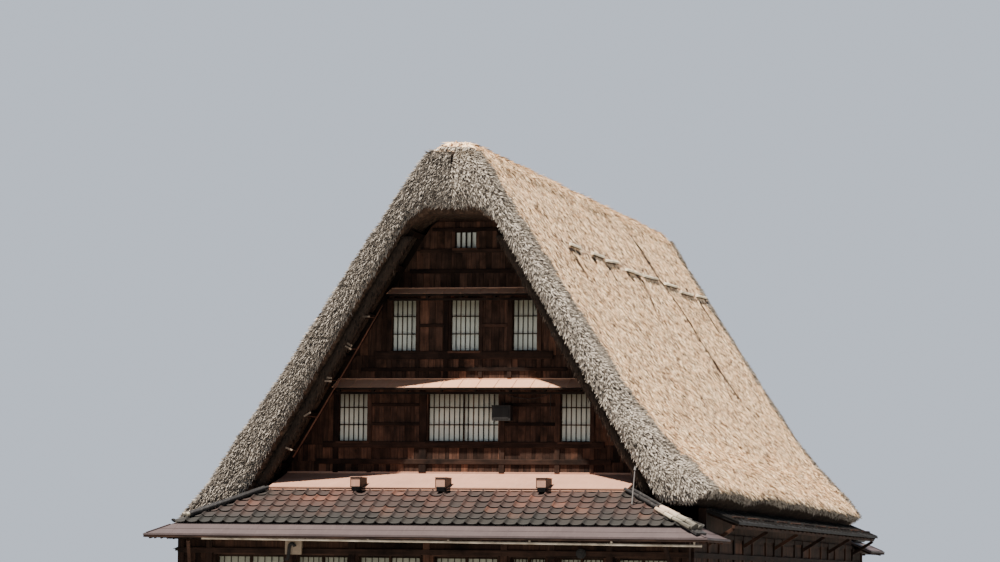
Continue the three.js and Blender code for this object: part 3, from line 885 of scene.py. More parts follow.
def makeLatticeTree():
    # Sash with upright and cross bars, standing in X and Z
    g = Build("sashLattice", {
        "Corner": (0.0, 0.0, 0.0), "Width": 0.6, "Height": 1.0, "Uprights": 5, "Crossbars": 2, "Cross start": 0.35,
        "Cross pitch": 0.36, "Bar": 0.016, "Frame": 0.03, "Depth": 0.012, "Wood": None,
    })
    given = g.given
    width, height, bar, frameWide, depth = (given[k] for k in ("Width", "Height", "Bar", "Frame", "Depth"))

    def row(count, start, step, size):
        line = g.line(count, g.arrow("ADD", given["Corner"], start), step)
        return g.spread(line, g.node("GeometryNodeMeshCube", {"Size": size}).outputs["Mesh"])

    pitch = g.math("DIVIDE", width, g.math("ADD", given["Uprights"], 1.0))
    halfWide, halfHigh, halfFrame = (g.math("DIVIDE", whole, 2.0) for whole in (width, height, frameWide))
    deep = g.times(depth, 1.8)
    rows = [
        row(given["Uprights"], g.vector(pitch, 0.0, halfHigh), g.vector(pitch), g.vector(bar, depth, height)),
        row(given["Crossbars"], g.vector(halfWide, 0.0, given["Cross start"]),
            g.vector(0.0, 0.0, given["Cross pitch"]), g.vector(width, g.times(depth, 0.8), bar)),
        row(2, g.vector(halfFrame, 0.0, halfHigh), g.vector(g.math("SUBTRACT", width, frameWide)),
            g.vector(frameWide, deep, height)),
        row(2, g.vector(halfWide, 0.0, halfFrame), g.vector(0.0, 0.0, g.math("SUBTRACT", height, frameWide)),
            g.vector(width, g.times(deep, 0.98), frameWide)),
    ]
    joined = g.node("GeometryNodeJoinGeometry")
    for part in rows:
        g.tree.links.new(part, joined.inputs[0])
    return g.close(g.toned(joined.outputs[0], 3), given["Wood"])


latticeTree = makeLatticeTree()


def dress(material, *names):
    # Gives carried-over CAD nodes their material
    for name in names:
        for ownSlot in nodes[name].material_slots:
            ownSlot.material = material


def bothEnds(*stems):
    return [stem + "_" + end for stem in stems for end in ("front", "back")]


# Timber, paper, stone and metal finishes
boardWood = woodMaterial("boardWood", (0.021, 0.013, 0.0105), (0.088, 0.047, 0.033), (1.0, 1.0, 0.06), 1.0)
wallWood = woodMaterial("wallWood", (0.014, 0.0088, 0.007), (0.060, 0.031, 0.021), (1.0, 1.0, 0.06), 1.0)
postWood = woodMaterial("postWood", (0.018, 0.011, 0.009), (0.055, 0.030, 0.021), (1.0, 1.0, 0.07), 2.0)
railWood = woodMaterial("railWood", (0.017, 0.011, 0.009), (0.052, 0.028, 0.020), (0.06, 1.0, 1.0), 3.0)
plainPost = woodMaterial("plainPost", (0.016, 0.010, 0.008), (0.050, 0.027, 0.019), (1.0, 1.0, 0.07), 5.0,
                         perBoard=False)
plainFloor = woodMaterial("plainFloor", (0.060, 0.034, 0.022), (0.170, 0.095, 0.058), (1.0, 0.05, 1.0), 6.0,
                          perBoard=False)
# Near-black wood for the roof grid and for the pent roof brackets and lips: painted shade
paintedShadeWood = woodMaterial("paintedShadeWood", (0.007, 0.0045, 0.0035), (0.018, 0.011, 0.008), (0.5, 0.5, 0.5), 7.0,
                         perBoard=False)
sashWood = woodMaterial("sashWood", (0.010, 0.007, 0.005), (0.034, 0.020, 0.014), (1.0, 1.0, 0.1), 8.0)
paleWood = woodMaterial("paleWood", (0.80, 0.68, 0.50), (1.0, 0.90, 0.70), (0.4, 0.06, 0.4), 9.0, bump=0.25,
                        perBoard=False)
poleWood = woodMaterial("poleWood", (0.42, 0.36, 0.29), (0.70, 0.62, 0.52), (0.06, 1.0, 1.0), 10.0, perBoard=False)
# A brighter, more saturated copy of the copper sheet for the pent roofs: painted light
pentSheetPaintedLight = metalMaterial("pentSheetPaintedLight", (0.49, 0.265, 0.170), (0.43, 0.228, 0.146), (0.52, 0.33, 0.24), 0.55)
copperSheet = metalMaterial("copperSheet", (0.355, 0.190, 0.135), (0.285, 0.155, 0.112), (0.40, 0.25, 0.19), 0.55)
eaveSheet = metalMaterial("eaveSheet", (0.064, 0.048, 0.050), (0.050, 0.037, 0.039), (0.084, 0.065, 0.064), 0.55)
# Lean-to sheets, near-black as painted shade under the thatch eave
leanSheet = metalMaterial("leanSheet", (0.0085, 0.0072, 0.0068), (0.005, 0.0042, 0.004), (0.020, 0.017, 0.015), 0.66)
# Near-black sheet for the cap boxes' rims and for painted shade under the apron lip and round the cap boxes
darkSheet = metalMaterial("darkSheet", (0.012, 0.010, 0.0095), (0.007, 0.006, 0.0055), (0.030, 0.025, 0.022), 0.60)
lampMetal = metalMaterial("lampMetal", (0.016, 0.015, 0.015), (0.010, 0.009, 0.009), (0.03, 0.028, 0.026), 0.70)
hipGlaze = metalMaterial("hipGlaze", (0.030, 0.029, 0.030), (0.016, 0.015, 0.016), (0.10, 0.095, 0.09), 0.35)


def paperMaterial():
    material, s, shader = startMaterial("windowPaper", 0.7, 0.0, 0.3)
    place = s.place()
    fibre = s.noise(place, 90.0, 4.0)
    cloud = s.noise(place, 2.3, 3.0)
    base = s.ramp(cloud, [(0.35, (0.51, 0.545, 0.505)), (0.65, (0.60, 0.625, 0.58))])
    # Painted shade: the upper part of each row of windows is darkened to a yellowish grey under the roof above it;
    # the ramp covers 10 m of height
    high = s.math("DIVIDE", s.node("ShaderNodeSeparateXYZ", {"Vector": place}).outputs["Z"], 10.0)
    paintedRoofShade = s.ramp(high, [
        (0.10, (0.9, 0.9, 0.85)), (0.258, (0.26, 0.24, 0.17)), (0.497, (1.0, 1.0, 1.0)),
        (0.55, (0.92, 0.92, 0.88)), (0.595, (0.15, 0.13, 0.085)), (0.686, (1.0, 1.0, 1.0)),
        (0.74, (0.92, 0.92, 0.88)), (0.785, (0.24, 0.215, 0.145)), (0.90, (1.0, 1.0, 1.0)),
    ])
    base = s.mix(1.0, base, paintedRoofShade, "MULTIPLY")
    s.coat(shader, s.mix(s.times(fibre, 0.22), base, (0.80, 0.83, 0.76)), fibre, 0.15, 0.001)
    return material


def stoneMaterial():
    material, s, shader = startMaterial("footStone", 0.9, 0.0, 0.25)
    place = s.place()
    rough = s.noise(place, 7.0, 8.0, 0.7)
    grit = s.noise(place, 95.0, 3.0)
    base = s.ramp(rough, [(0.34, (0.10, 0.095, 0.085)), (0.52, (0.25, 0.235, 0.21)), (0.68, (0.42, 0.40, 0.36))])
    base = s.mix(s.times(grit, 0.35), base, (0.15, 0.14, 0.125))
    base = s.mix(s.times(s.layer("tone"), 0.3), base, (0.42, 0.36, 0.29))
    s.coat(shader, base, s.math("ADD", rough, s.times(grit, 0.3)), 0.7, 0.02)
    return material


def tileMaterial(name, stops, patch):
    # Fired clay: each tile has its own tone, with soot and lichen
    material, s, shader = startMaterial(name, 0.62, 0.0, 0.35)
    place = s.place()
    marks = useGroup(s, weatherGroup, Vector=place, Size=3.0)
    base = s.ramp(s.layer("tone"), stops)
    base = s.mix(s.fade(marks["Patch"], 0.42, 0.66, 0.75), base, patch)
    base = s.mix(s.fade(marks["Speck"], 0.58, 0.75, 0.7), base, shaded(patch, 0.45))
    # Darker along the lowest rows, a little brighter and redder higher up, and painted shadow in the upper corners
    # under the thatch; ramps cover 10 m
    spot = s.node("ShaderNodeSeparateXYZ", {"Vector": place}).outputs
    level = s.math("ADD", s.math("DIVIDE", spot["Z"], 10.0), s.times(marks["Patch"], 0.01))
    lowRows = s.ramp(level, [(0.336, (1.0, 1.0, 1.0)), (0.346, (0.0, 0.0, 0.0))])
    aside = s.math("DIVIDE", s.math("ABSOLUTE", spot["X"]), 10.0)
    # Painted shadow: the upper corners beside the thatch are darkened
    corner = s.times(s.fade(aside, 0.28, 0.37), s.fade(level, 0.367, 0.385))
    base = s.mix(1.0, base, s.ramp(level, [(0.345, (1.0, 1.0, 1.0)), (0.378, (1.7, 1.25, 1.15))]), "MULTIPLY")
    base = s.mix(s.times(s.math("MAXIMUM", lowRows, corner), 0.8), base, (0.010, 0.010, 0.009))
    s.put(shader.inputs["Roughness"], s.math("ADD", s.times(marks["Speck"], 0.5), 0.38))
    s.coat(shader, base, marks["Speck"], 0.4, 0.006)
    return material


def plasticMaterial():
    material, s, shader = startMaterial("boxPlastic", 0.45, 0.0, 0.4)
    marks = useGroup(s, weatherGroup, Vector=s.place(), Size=5.0)
    base = s.mix(s.fade(marks["Run"], 0.45, 0.75, 0.6), (0.22, 0.165, 0.115), (0.13, 0.098, 0.07))
    s.coat(shader, base, marks["Speck"], 0.1, 0.002)
    return material


windowPaper, footStone, boxPlastic = paperMaterial(), stoneMaterial(), plasticMaterial()
roofTile = tileMaterial("roofTile", [(0.0, (0.010, 0.009, 0.009)), (0.35, (0.020, 0.0145, 0.0135)),
                                     (0.85, (0.032, 0.0195, 0.0165)), (1.0, (0.070, 0.037, 0.026))],
                        (0.017, 0.0145, 0.014))
hipTile = tileMaterial("hipTile", [(0.0, (0.17, 0.15, 0.12)), (0.6, (0.32, 0.285, 0.22)), (1.0, (0.46, 0.41, 0.32))],
                       (0.17, 0.15, 0.12))
dress(footStone, "stone_platform")
dress(plainFloor, "ground_floor", "second_floor", "third_floor", "fourth_floor")
dress(plainPost, "lower_wall_right", "lower_wall_left", *bothEnds("lower_wall", "gable_wall", "eave_beam"))
dress(windowPaper, "lower_windows_right", "lower_windows_left",
      *bothEnds("second_windows", "third_windows", "top_window", "lower_doors"))
dress(paintedShadeWood, "roof_grid_right", "roof_grid_left")
dress(pentSheetPaintedLight, *bothEnds("pent_roof_second", "pent_roof_third"))
dress(copperSheet, *bothEnds("skirt_apron"))
dress(eaveSheet, *bothEnds("skirt_roof"))
dress(leanSheet, "lean_to_right", "lean_to_left")
dress(poleWood, "eave_pole")
dress(boxPlastic, "meter_box")
dress(lampMetal, "gable_lamp")
print("finishes made")


# Gable walls
gable = {
    "face": -9.375, "apex": 10.955, "tangent": 1.681, "inset": 0.155,
    "second": ((-2.68, -2.06), (-0.75, 0.75), (2.07, 2.70)), "secondZ": (4.97, 6.01),
    "third": ((-1.55, -1.04), (-0.29, 0.31), (1.03, 1.55)), "thirdZ": (6.85, 7.92),
    "top": (-0.22, 0.23), "topZ": (8.99, 9.34),
    "posts": (
        (-2.785, -2.68, 4.32, 6.025), (-2.05, -1.96, 4.32, 6.025), (-0.93, -0.78, 4.32, 6.025),
        (0.78, 0.89, 4.32, 6.025), (1.96, 2.06, 4.32, 6.025), (2.70, 2.785, 4.32, 6.025),
        (-1.65, -1.56, 6.29, 7.94), (-1.03, -0.96, 6.29, 7.94), (-0.43, -0.34, 6.29, 7.94),
        (0.32, 0.40, 6.29, 7.94), (0.93, 1.02, 6.29, 7.94), (1.56, 1.65, 6.29, 7.94),
    ),
    "rails": (
        (-3.0, 3.0, 4.84, 4.96), (-3.15, 3.15, 4.50, 4.60), (-1.96, -0.93, 5.70, 5.76), (-1.96, -0.93, 5.30, 5.36),
        (0.89, 1.96, 5.70, 5.76), (0.89, 1.96, 5.30, 5.36), (-1.90, 1.90, 6.68, 6.84), (-2.20, 2.20, 6.43, 6.50),
        (-0.96, -0.43, 7.35, 7.41), (0.40, 0.93, 7.35, 7.41), (-1.18, 1.18, 8.47, 8.55), (-0.95, 0.95, 8.90, 8.975),
        (-0.70, 0.70, 9.35, 9.41),
    ),
    "bands": (3.21, 4.55, 4.90, 6.15, 6.465, 6.76, 8.06, 8.51, 8.94, 9.55),
}


def slopeAbove(x):
    return min(9.60, gable["apex"] - gable["tangent"] * (abs(x) + gable["inset"]))


def gableBoards(end, facing):
    face = gable["face"]
    holes = [(*x, *gable["secondZ"]) for x in gable["second"]] + [(*x, *gable["thirdZ"]) for x in gable["third"]]
    holes.append((*gable["top"], *gable["topZ"]))
    boards = Timbers(41 + facing, facing)
    for low, high in zip(gable["bands"], gable["bands"][1:]):
        half = (gable["apex"] - low) / gable["tangent"] - gable["inset"]
        boardRow(boards, -half, half, low + 0.002, high - 0.002, face - 0.022, face - 0.001, holes, slopeAbove)
    boards.finish("gableBoards" + end, boardWood, "dark_timber", bevel=0.003)
    posts = Timbers(43 + facing, facing)
    for x0, x1, z0, z1 in gable["posts"]:
        posts.box(x0 - 0.004, x1 + 0.004, face - 0.048, face - 0.002, z0, z1)
    posts.finish("gablePosts" + end, postWood, "dark_timber", bevel=0.007)
    rails = Timbers(45 + facing, facing)
    for x0, x1, z0, z1 in gable["rails"]:
        rails.box(x0 - 0.004, x1 + 0.004, face - 0.054, face - 0.002, z0 - 0.003, z1 + 0.003)
    for x0, x1, z0, z1 in holes:
        rails.box(x0 - 0.05, x1 + 0.05, face - 0.060, face + 0.09, z0 - 0.045, z0 + 0.004)
        rails.box(x0 - 0.05, x1 + 0.05, face - 0.056, face + 0.09, z1 - 0.004, z1 + 0.040)
    rails.finish("gableRails" + end, railWood, "dark_timber", bevel=0.006)
    sashes = Timbers(47, facing)
    for x0, x1, z0, z1 in holes:
        middle, tall = (x0 + x1) / 2, z1 - z0
        leaves = [(x0, middle + 0.02), (middle - 0.02, x1)] if x1 - x0 > 1.0 else [(x0, x1)]
        small = tall < 0.5
        for leaf, (a, b) in enumerate(leaves):
            # Wider leaves have more bars
            uprights = 3 if small else 4 + sum(b - a >= limit for limit in (0.56, 0.7))
            sashes.add(runTree(latticeTree, {
                "Corner": (a, face + 0.055 + 0.016 * leaf, z0), "Width": b - a, "Height": tall,
                "Uprights": uprights, "Crossbars": 0 if small else 2, "Cross start": tall * 0.335,
                "Cross pitch": tall * 0.343, "Bar": 0.036 if small else 0.021, "Frame": 0.016, "Depth": 0.016,
                "Wood": sashWood,
            }))
    sashes.finish("gableSashes" + end, sashWood, "timber", bevel=0.0)


# Sheet metal over the window rows and along the foot of the gable
sheets = {
    # Half width, reach out of the wall, height of the eave and at the wall
    "second": (2.68, 0.50, 6.07, 6.27), "third": (1.56, 0.40, 8.02, 8.16), "seamPitch": 0.37, "seam": (0.012, 0.012),
    # Eave place and height, wall place and height, half width
    "apron": (-10.735, 3.907, -9.375, 4.31, 3.77), "folds": 5, "caps": (-1.85, -0.06, 2.04),
    "capLid": (-10.995, -10.44, 4.177, 4.190), "capBeamShade": (-10.955, -10.50, 3.90, 3.984),
    "capSide": (-10.986, -10.46, 3.972, 4.177), "capFront": (-10.986, -10.976),
    "capRails": ((3.972, 3.993), (4.156, 4.177)),
}


def pentRoofs(end, facing):
    seams, brackets = Timbers(51 + facing, facing), Timbers(53 + facing, facing)
    face = gable["face"]
    across, up = sheets["seam"]
    for half, reach, low, high in (sheets["second"], sheets["third"]):
        lip = face - reach
        count = round(2 * half / sheets["seamPitch"])
        for k in range(count + 1):
            x = -half + across / 2 + (2 * half - across) * k / count
            seams.bar((x, lip - 0.004, low + up / 2), (x, face - 0.01, high + up / 2), across, up)
        # Near-black strip under each pent roof's front edge: painted shade
        brackets.box(-half - 0.01, half + 0.01, lip - 0.010, lip - 0.001, low - 0.050, low - 0.004)
        seams.box(-half - 0.01, half + 0.01, face - 0.034, face, high - 0.01, high + 0.012)
        for sign in (-1, 1):
            x = sign * (half + 0.004)
            seams.bar((x, lip, low - 0.012), (x, face - 0.01, high - 0.012), 0.012, 0.058)
        for k in range(count // 2 + 1):
            x = -half + 0.12 + (2 * half - 0.24) * k / (count // 2)
            brackets.bar((x, lip + 0.03, low - 0.075), (x, face - 0.005, high - 0.125), 0.05, 0.06)
        brackets.box(-half + 0.02, half - 0.02, lip + 0.04, lip + 0.09, low - 0.14, low - 0.095)
    seams.finish("pentSeams" + end, pentSheetPaintedLight, "copper_sheet", bevel=0.002)
    brackets.finish("pentBrackets" + end, paintedShadeWood, "timber", bevel=0.004)


def apronSheet(end, facing):
    y0, z0, y1, z1, half = sheets["apron"]
    t = Timbers(55 + facing, facing)
    gaps = sheets["folds"] - 1
    for k in range(gaps + 1):
        x = -half + 0.02 + (2 * half - 0.04) * k / gaps
        t.bar((x, y0, z0 + 0.055), (x, y1, z1 + 0.004), 0.05, 0.006)
    for lift, out in ((0.066, 0.020), (0.020, 0.042)):
        t.bar((-half - 0.01, y0 - out, z0 + lift), (half + 0.01, y0 - out, z0 + lift), 0.044, 0.022)
    t.box(-half, half, y1 - 0.035, y1 - 0.001, z1 - 0.02, z1 + 0.03)
    for x in sheets["caps"]:
        t.box(x - 0.115, x + 0.115, *sheets["capLid"])
    t.finish("apronFolds" + end, copperSheet, "copper_sheet", bevel=0.0025)
    dark = Timbers(57, facing)
    # Painted shadow: a near-black strip under the apron's front lip
    dark.box(-half, half, y0 - 0.012, y0 - 0.001, z0 + 0.004, z0 + 0.052)
    for x in sheets["caps"]:
        # A near-black beam under each cap box that paints the shadow in the gap
        dark.box(x - 0.085, x + 0.085, *sheets["capBeamShade"])
        for a, b in ((-0.106, -0.096), (0.096, 0.106)):
            # Side cheeks of each cap box, near-black as painted shade
            dark.box(x + a, x + b, *sheets["capSide"])
        for rail in sheets["capRails"]:
            dark.box(x - 0.096, x + 0.096, *sheets["capFront"], *rail)
    dark.finish("capFrames" + end, darkSheet, "dull_metal", bevel=0.003)


# Skirt roof: slopes are given by the distance in from the eave
skirt = {
    "eaveX": 5.77, "eaveY": -12.735, "foot": 2.91, "tangent": 0.4635, "deck": 0.06, "strip": 0.48, "run": 2.0,
    "returnY": -10.2, "edge": (2.945, 2.976), "folds": (0.012, 0.24, 0.45),
    # Count and first place of the rafters, their pitch, size and lift
    "endRafters": (25, -4.8), "sideRafters": (5, -12.25), "rafterPitch": 0.4, "rafter": (0.05, 0.06),
    "rafterLift": -0.036, "joints": (7, -5.2, 1.73),
    "cornerRafter": ((5.68, -12.64, 2.91), (5.25, -12.21, 3.09)), "sidePlate": (5.40, -12.3, -10.25, 2.93, 3.0),
    "endPlate": (-5.3, 5.3, -12.56, -12.50, 2.87, 2.915),
    # Each hip's first run and the run up to which its row is pale; above it the dark rolls on the right hip are
    # painted shade
    "tileWidth": 0.265, "rows": 6, "tileReturnY": -10.68, "hips": {-1: (0.70, 0.0), 1: (0.30, 1.02)},
    "tileMarks": (0.0, 0.04, 0.09, 0.15, 0.24, 0.37, 0.52, 0.67, 0.79, 0.88, 0.94, 1.0),
    "tileLength": 0.285, "tileThick": 0.016, "tileColumns": (40, 8),
}


def skirtPoint(side, along, run, lift):
    # side 0 is the front slope, -1 and 1 are the short slopes at the left and right
    z = skirt["foot"] + skirt["tangent"] * run + lift
    if side == 0:
        return (along, skirt["eaveY"] + run, z)
    return (side * (skirt["eaveX"] - run), along, z)


def eaveFolds(end, facing):
    t = Timbers(61 + facing, facing)
    rafters = Timbers(63 + facing, facing)
    deck, eaveX, eaveY, returnY = (skirt[key] for key in ("deck", "eaveX", "eaveY", "returnY"))
    for run in skirt["folds"]:
        tall = 0.005 if run > 0.05 else 0.012
        half, lift = eaveX - run, deck + tall / 2
        t.bar(skirtPoint(0, -half, run, lift), skirtPoint(0, half, run, lift), 0.018, tall)
        for side in (-1, 1):
            t.bar(skirtPoint(side, eaveY + run, run, lift), skirtPoint(side, returnY, run, lift), 0.018, tall)
    count, first, pitch = skirt["joints"]
    for x in (first + pitch * k for k in range(count)):
        t.bar(skirtPoint(0, x, 0.02, deck + 0.001), skirtPoint(0, x, 0.47, deck + 0.001), 0.02, 0.003)
    half = eaveX + 0.01
    low, high = skirt["edge"]
    t.box(-half, half, eaveY - 0.012, eaveY, low, high)
    rafters.box(-half + 0.01, half - 0.01, eaveY - 0.006, eaveY, low - 0.045, low - 0.001)
    for side in (-1, 1):
        x = side * eaveX
        t.box(*sorted((x, x + side * 0.012)), eaveY, returnY, low, high)
        rafters.box(*sorted((x, x + side * 0.006)), eaveY, returnY, low - 0.045, low - 0.001)
        t.bar(skirtPoint(side, eaveY + 0.04, 0.04, deck + 0.008), skirtPoint(side, eaveY + 0.42, 0.42, deck + 0.008),
              0.05, 0.014)
    t.finish("eaveFolds" + end, eaveSheet, "dull_metal", bevel=0.003)
    lift, pitch, size = skirt["rafterLift"], skirt["rafterPitch"], skirt["rafter"]
    count, first = skirt["endRafters"]
    for x in (first + pitch * k for k in range(count)):
        rafters.bar(skirtPoint(0, x, 0.07, lift), skirtPoint(0, x, 0.755, lift), *size)
    count, first = skirt["sideRafters"]
    for y in (first + pitch * k for k in range(count)):
        for side in (-1, 1):
            rafters.bar(skirtPoint(side, y, 0.06, lift), skirtPoint(side, y, 0.47, lift), *size)
    for side in (-1, 1):
        rafters.bar(*((side * x, y, z) for x, y, z in skirt["cornerRafter"]), 0.07, 0.08)
        x, *rest = skirt["sidePlate"]
        rafters.box(side * x - 0.05, side * x + 0.05, *rest)
    rafters.box(*skirt["endPlate"])
    rafters.finish("eaveRafters" + end, railWood, "timber", bevel=0.004)


def makeTileTree():
    # Rows of one tile up a slope, each tile a little out of line
    g = Build("tileRows", {
        "Start": (0.0, 0.0, 0.0), "Columns": 10, "Rows": 6, "Pitch": 0.265, "Rise": (0.0, 0.2, 0.1), "Tilt": 0.3,
        "Clay": None,
    })
    given = g.given
    row = g.line(given["Columns"], given["Start"], g.vector(given["Pitch"]))
    column = g.line(given["Rows"], (0.0, 0.0, 0.0), given["Rise"])
    spots = g.real(g.spread(column, row))
    turn = g.arrow("ADD", g.vector(given["Tilt"]), g.chanceVector((0.022, 0.02, 0.018), 71))
    size = g.arrow("ADD", g.chanceVector((0.0, 0.02, 0.08), 72), g.vector(1.0, 1.0, 1.0))
    placed = g.spread(spots, given["Geometry"], {"Rotation": turn, "Scale": size})
    return g.close(g.toned(placed, 73), given["Clay"])


def tileShape():
    # One wavy tile, its front edge at the origin
    bm = bmesh.new()
    width, marks = skirt["tileWidth"] * 1.03, skirt["tileMarks"]
    length, thick = skirt["tileLength"], skirt["tileThick"]
    columns = len(marks) - 1
    grid = {}
    for layer in (0, 1):
        for j, v in enumerate((0.0, 0.012, length)):
            for i, u in enumerate(marks):
                crests = sum(math.exp(-((u - at) / 0.10) ** 2) for at in (0.04, 1.04))
                wave = 0.032 * crests - 0.020 * math.sin(math.pi * u)
                lift = 0.040 - 0.030 * v / length - (0.004 if j == 0 else 0.0)
                grid[layer, j, i] = bm.verts.new(((u - 0.5) * width, v, wave + lift + thick * layer))

    def skin(*keys):
        bm.faces.new([grid[key] for key in keys])

    for j in range(2):
        for i in range(columns):
            for layer in (0, 1):
                skin((layer, j, i), (layer, j, i + 1), (layer, j + 1, i + 1), (layer, j + 1, i))
    for i in range(columns):
        for j in (0, 2):
            skin((0, j, i), (0, j, i + 1), (1, j, i + 1), (1, j, i))
    for j in range(2):
        for i in (0, columns):
            skin((0, j, i), (0, j + 1, i), (1, j + 1, i), (1, j, i))
    bmesh.ops.recalc_face_normals(bm, faces=bm.faces)
    return plainMesh("tileShape", bm)


tileTree = makeTileTree()


def skirtTiles(end, facing):
    angle = math.atan(skirt["tangent"])
    rows, pitch = skirt["rows"], skirt["tileWidth"]
    step = (skirt["run"] - skirt["strip"]) / rows
    foot = skirt["foot"] + skirt["deck"] + skirt["tangent"] * skirt["strip"] + 0.004
    shared = {"Rows": rows, "Pitch": pitch, "Rise": (0.0, step, step * skirt["tangent"]), "Tilt": angle,
              "Clay": roofTile}
    y = skirt["eaveY"] + skirt["strip"] - 0.02
    cut = skirt["eaveX"] + skirt["eaveY"]

    def field(start, count):
        return runTree(tileTree, {**shared, "Start": (start, y, foot), "Columns": count}, tileShape())

    # Each field with its turn, the hip planes that cut it and the side that goes
    across, count = skirt["tileColumns"]
    pieces = [(field(-(across - 1) / 2 * pitch, across), Matrix(), ((1.0, 1.0), (-1.0, 1.0)), 1.0)]
    reach = skirt["tileReturnY"]
    for side in (-1, 1):
        start = (reach - (count - 0.5) * pitch) if side > 0 else -reach + 0.5 * pitch
        turn = Matrix.Translation((side * cut, 0.0, 0.0)) @ Matrix.Rotation(side * math.pi / 2, 4, "Z")
        pieces.append((field(start, count), turn, ((float(side), 1.0),), -1.0))
    whole = Timbers(0, facing)
    for mesh, matrix, planes, keep in pieces:
        bm = bmesh.new()
        bm.from_mesh(mesh)
        bm.transform(matrix)
        for nx, ny in planes:
            bmesh.ops.bisect_plane(
                bm, geom=bm.verts[:] + bm.edges[:] + bm.faces[:], plane_co=(nx * skirt["eaveX"], skirt["eaveY"], 0.0),
                plane_no=(nx * keep, ny * keep, 0.0), clear_outer=True)
        whole.add(plainMesh("tilePart", bm))
    tiles = whole.finish("roofTiles" + end, roofTile, "roof_tile", bevel=0.0)
    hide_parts("skirt_tiles_" + end.lower())
    hipRidges(end, facing)


hip = {
    "pitch": 0.21, "wander": 0.014,
    # Lift, width and depth of the bed; place to the side, lift at foot and head, and radius of the rows on it
    "bed": (0.056, 0.17, 0.03), "crest": (0.112, 0.100, 0.068), "cheeks": (0.085, 0.072, 0.066, 0.052),
    "rolls": (0.060, 0.094, 0.090, 0.034), "ends": (0.060, 0.088, 0.090, 0.052),
}


def hipRidges(end, facing):
    # Dark glazed rolls, and a paler mortared row low on one hip; above that row the right hip's dark rolls are
    # painted shade under the thatch
    dark, pale = Timbers(67 + facing, facing), Timbers(69 + facing, facing)
    for side in (-1, 1):
        def at(run, lift, over=0.0):
            x, y, z = skirtPoint(side, skirt["eaveY"] + run, run, skirt["deck"] + lift)
            return (x + side * over, y + over, z)

        run, change = skirt["hips"][side]
        first = run
        while run < skirt["run"] - 0.08:
            far = min(skirt["run"] - 0.03, run + hip["pitch"])
            # Past the change the rolls are dark: on the right hip this is painted shade
            t = pale if run < change else dark
            shift = [t.dice.uniform(-hip["wander"], hip["wander"]) for _ in range(4)]
            lift, wide, deep = hip["bed"]
            t.bar(at(run + 0.003, lift), at(far - 0.003, lift), wide, deep)
            if t is pale:
                low, high, radius = hip["crest"]
                t.pole(at(run - 0.025, low + shift[0]), at(far + 0.008, high + shift[3]), radius, 10, taper=0.80)
                aside, low, high, radius = hip["cheeks"]
                for over, moved in ((-aside, shift[1]), (aside, shift[2])):
                    t.pole(at(run - 0.016, low, over + moved), at(far + 0.006, high, over), radius, 8, taper=0.82)
            else:
                aside, low, high, radius = hip["rolls"]
                for over in (-aside, aside):
                    t.pole(at(run - 0.010, low, over), at(far + 0.010, high, over), radius, 10, taper=0.93)
            run = far
        aside, low, high, radius = hip["ends"]
        for over in (-aside, aside):
            pale.pole(at(first - 0.050, low, over), at(first - 0.008, high, over), radius, 12)
        if change:
            dark.bar(at(first - 0.16, 0.022), at(first + 0.12, 0.030), 0.24, 0.05)
    dark.finish("hipRolls" + end, hipGlaze, "roof_tile", bevel=0.003)
    pale.finish("hipRidges" + end, hipTile, "roof_tile", bevel=0.004)


for end, facing in gableEnds:
    gableBoards(end, facing)
    pentRoofs(end, facing)
    apronSheet(end, facing)
    eaveFolds(end, facing)
    skirtTiles(end, facing)
    print("gable and skirt roof made at the", end.lower())


# Verges: a near-black straw bundle under each edge of the thatch, its darkness painted shade of the inner verge, and
# a thin pole tied below the left one
verge = {
    "y": -10.335, "foot": 3.95, "head": 9.15, "bundleIn": 0.06, "bundle": 0.120, "steps": 56, "sides": 12,
    "poleY": -10.36, "poleEnds": (4.60, 7.75), "poleIn": 0.415, "poleRadius": 0.017,
    "poleSag": 0.03, "ties": (4.75, 5.45, 6.2, 6.85, 7.5), "tieIn": 0.16, "tieRadius": 0.007,
    # Loose stubs at each tie: how many, spread up and down, reach and size
    "stubs": (1, 3), "stubSpread": 0.12, "stubReach": (0.08, 0.17), "stub": (0.036, 0.012),
    "straw": {"Density": 260.0, "Length": 0.10, "Width": 0.010, "Lift": 0.35, "Spread": 0.4, "Seed": 33},
}
ropeStraw = tuftMaterial("ropeStraw", (0.17, 0.13, 0.10), (0.105, 0.08, 0.06), (0.045, 0.034, 0.026))
poleBark = woodMaterial("poleBark", (0.060, 0.026, 0.017), (0.110, 0.048, 0.030), (1.0, 1.0, 0.1), 11.0,
                        perBoard=False)


def vergeSpot(sign, z, inset, y=verge["y"]):
    return Vector((sign * ((gable["apex"] - z) / gable["tangent"] - inset), y, z))


def vergeBundle(t, sign):
    rings = []
    for k in range(verge["steps"] + 1):
        z = verge["foot"] + (verge["head"] - verge["foot"]) * k / verge["steps"]
        ring = []
        for i in range(verge["sides"]):
            angle = 2.0 * math.pi * i / verge["sides"]
            across, out = math.cos(angle), math.sin(angle)
            r = verge["bundle"] * (1.0 + 0.25 * noise.noise(Vector((across * 1.3 + sign * 5.0, out * 1.3, z * 2.2))))
            ring.append(vergeSpot(sign, z, verge["bundleIn"]) + Vector((across * r * 1.1, out * r, 0.0)))
        rings.append(ring)
    t.tube(rings, 0.4)


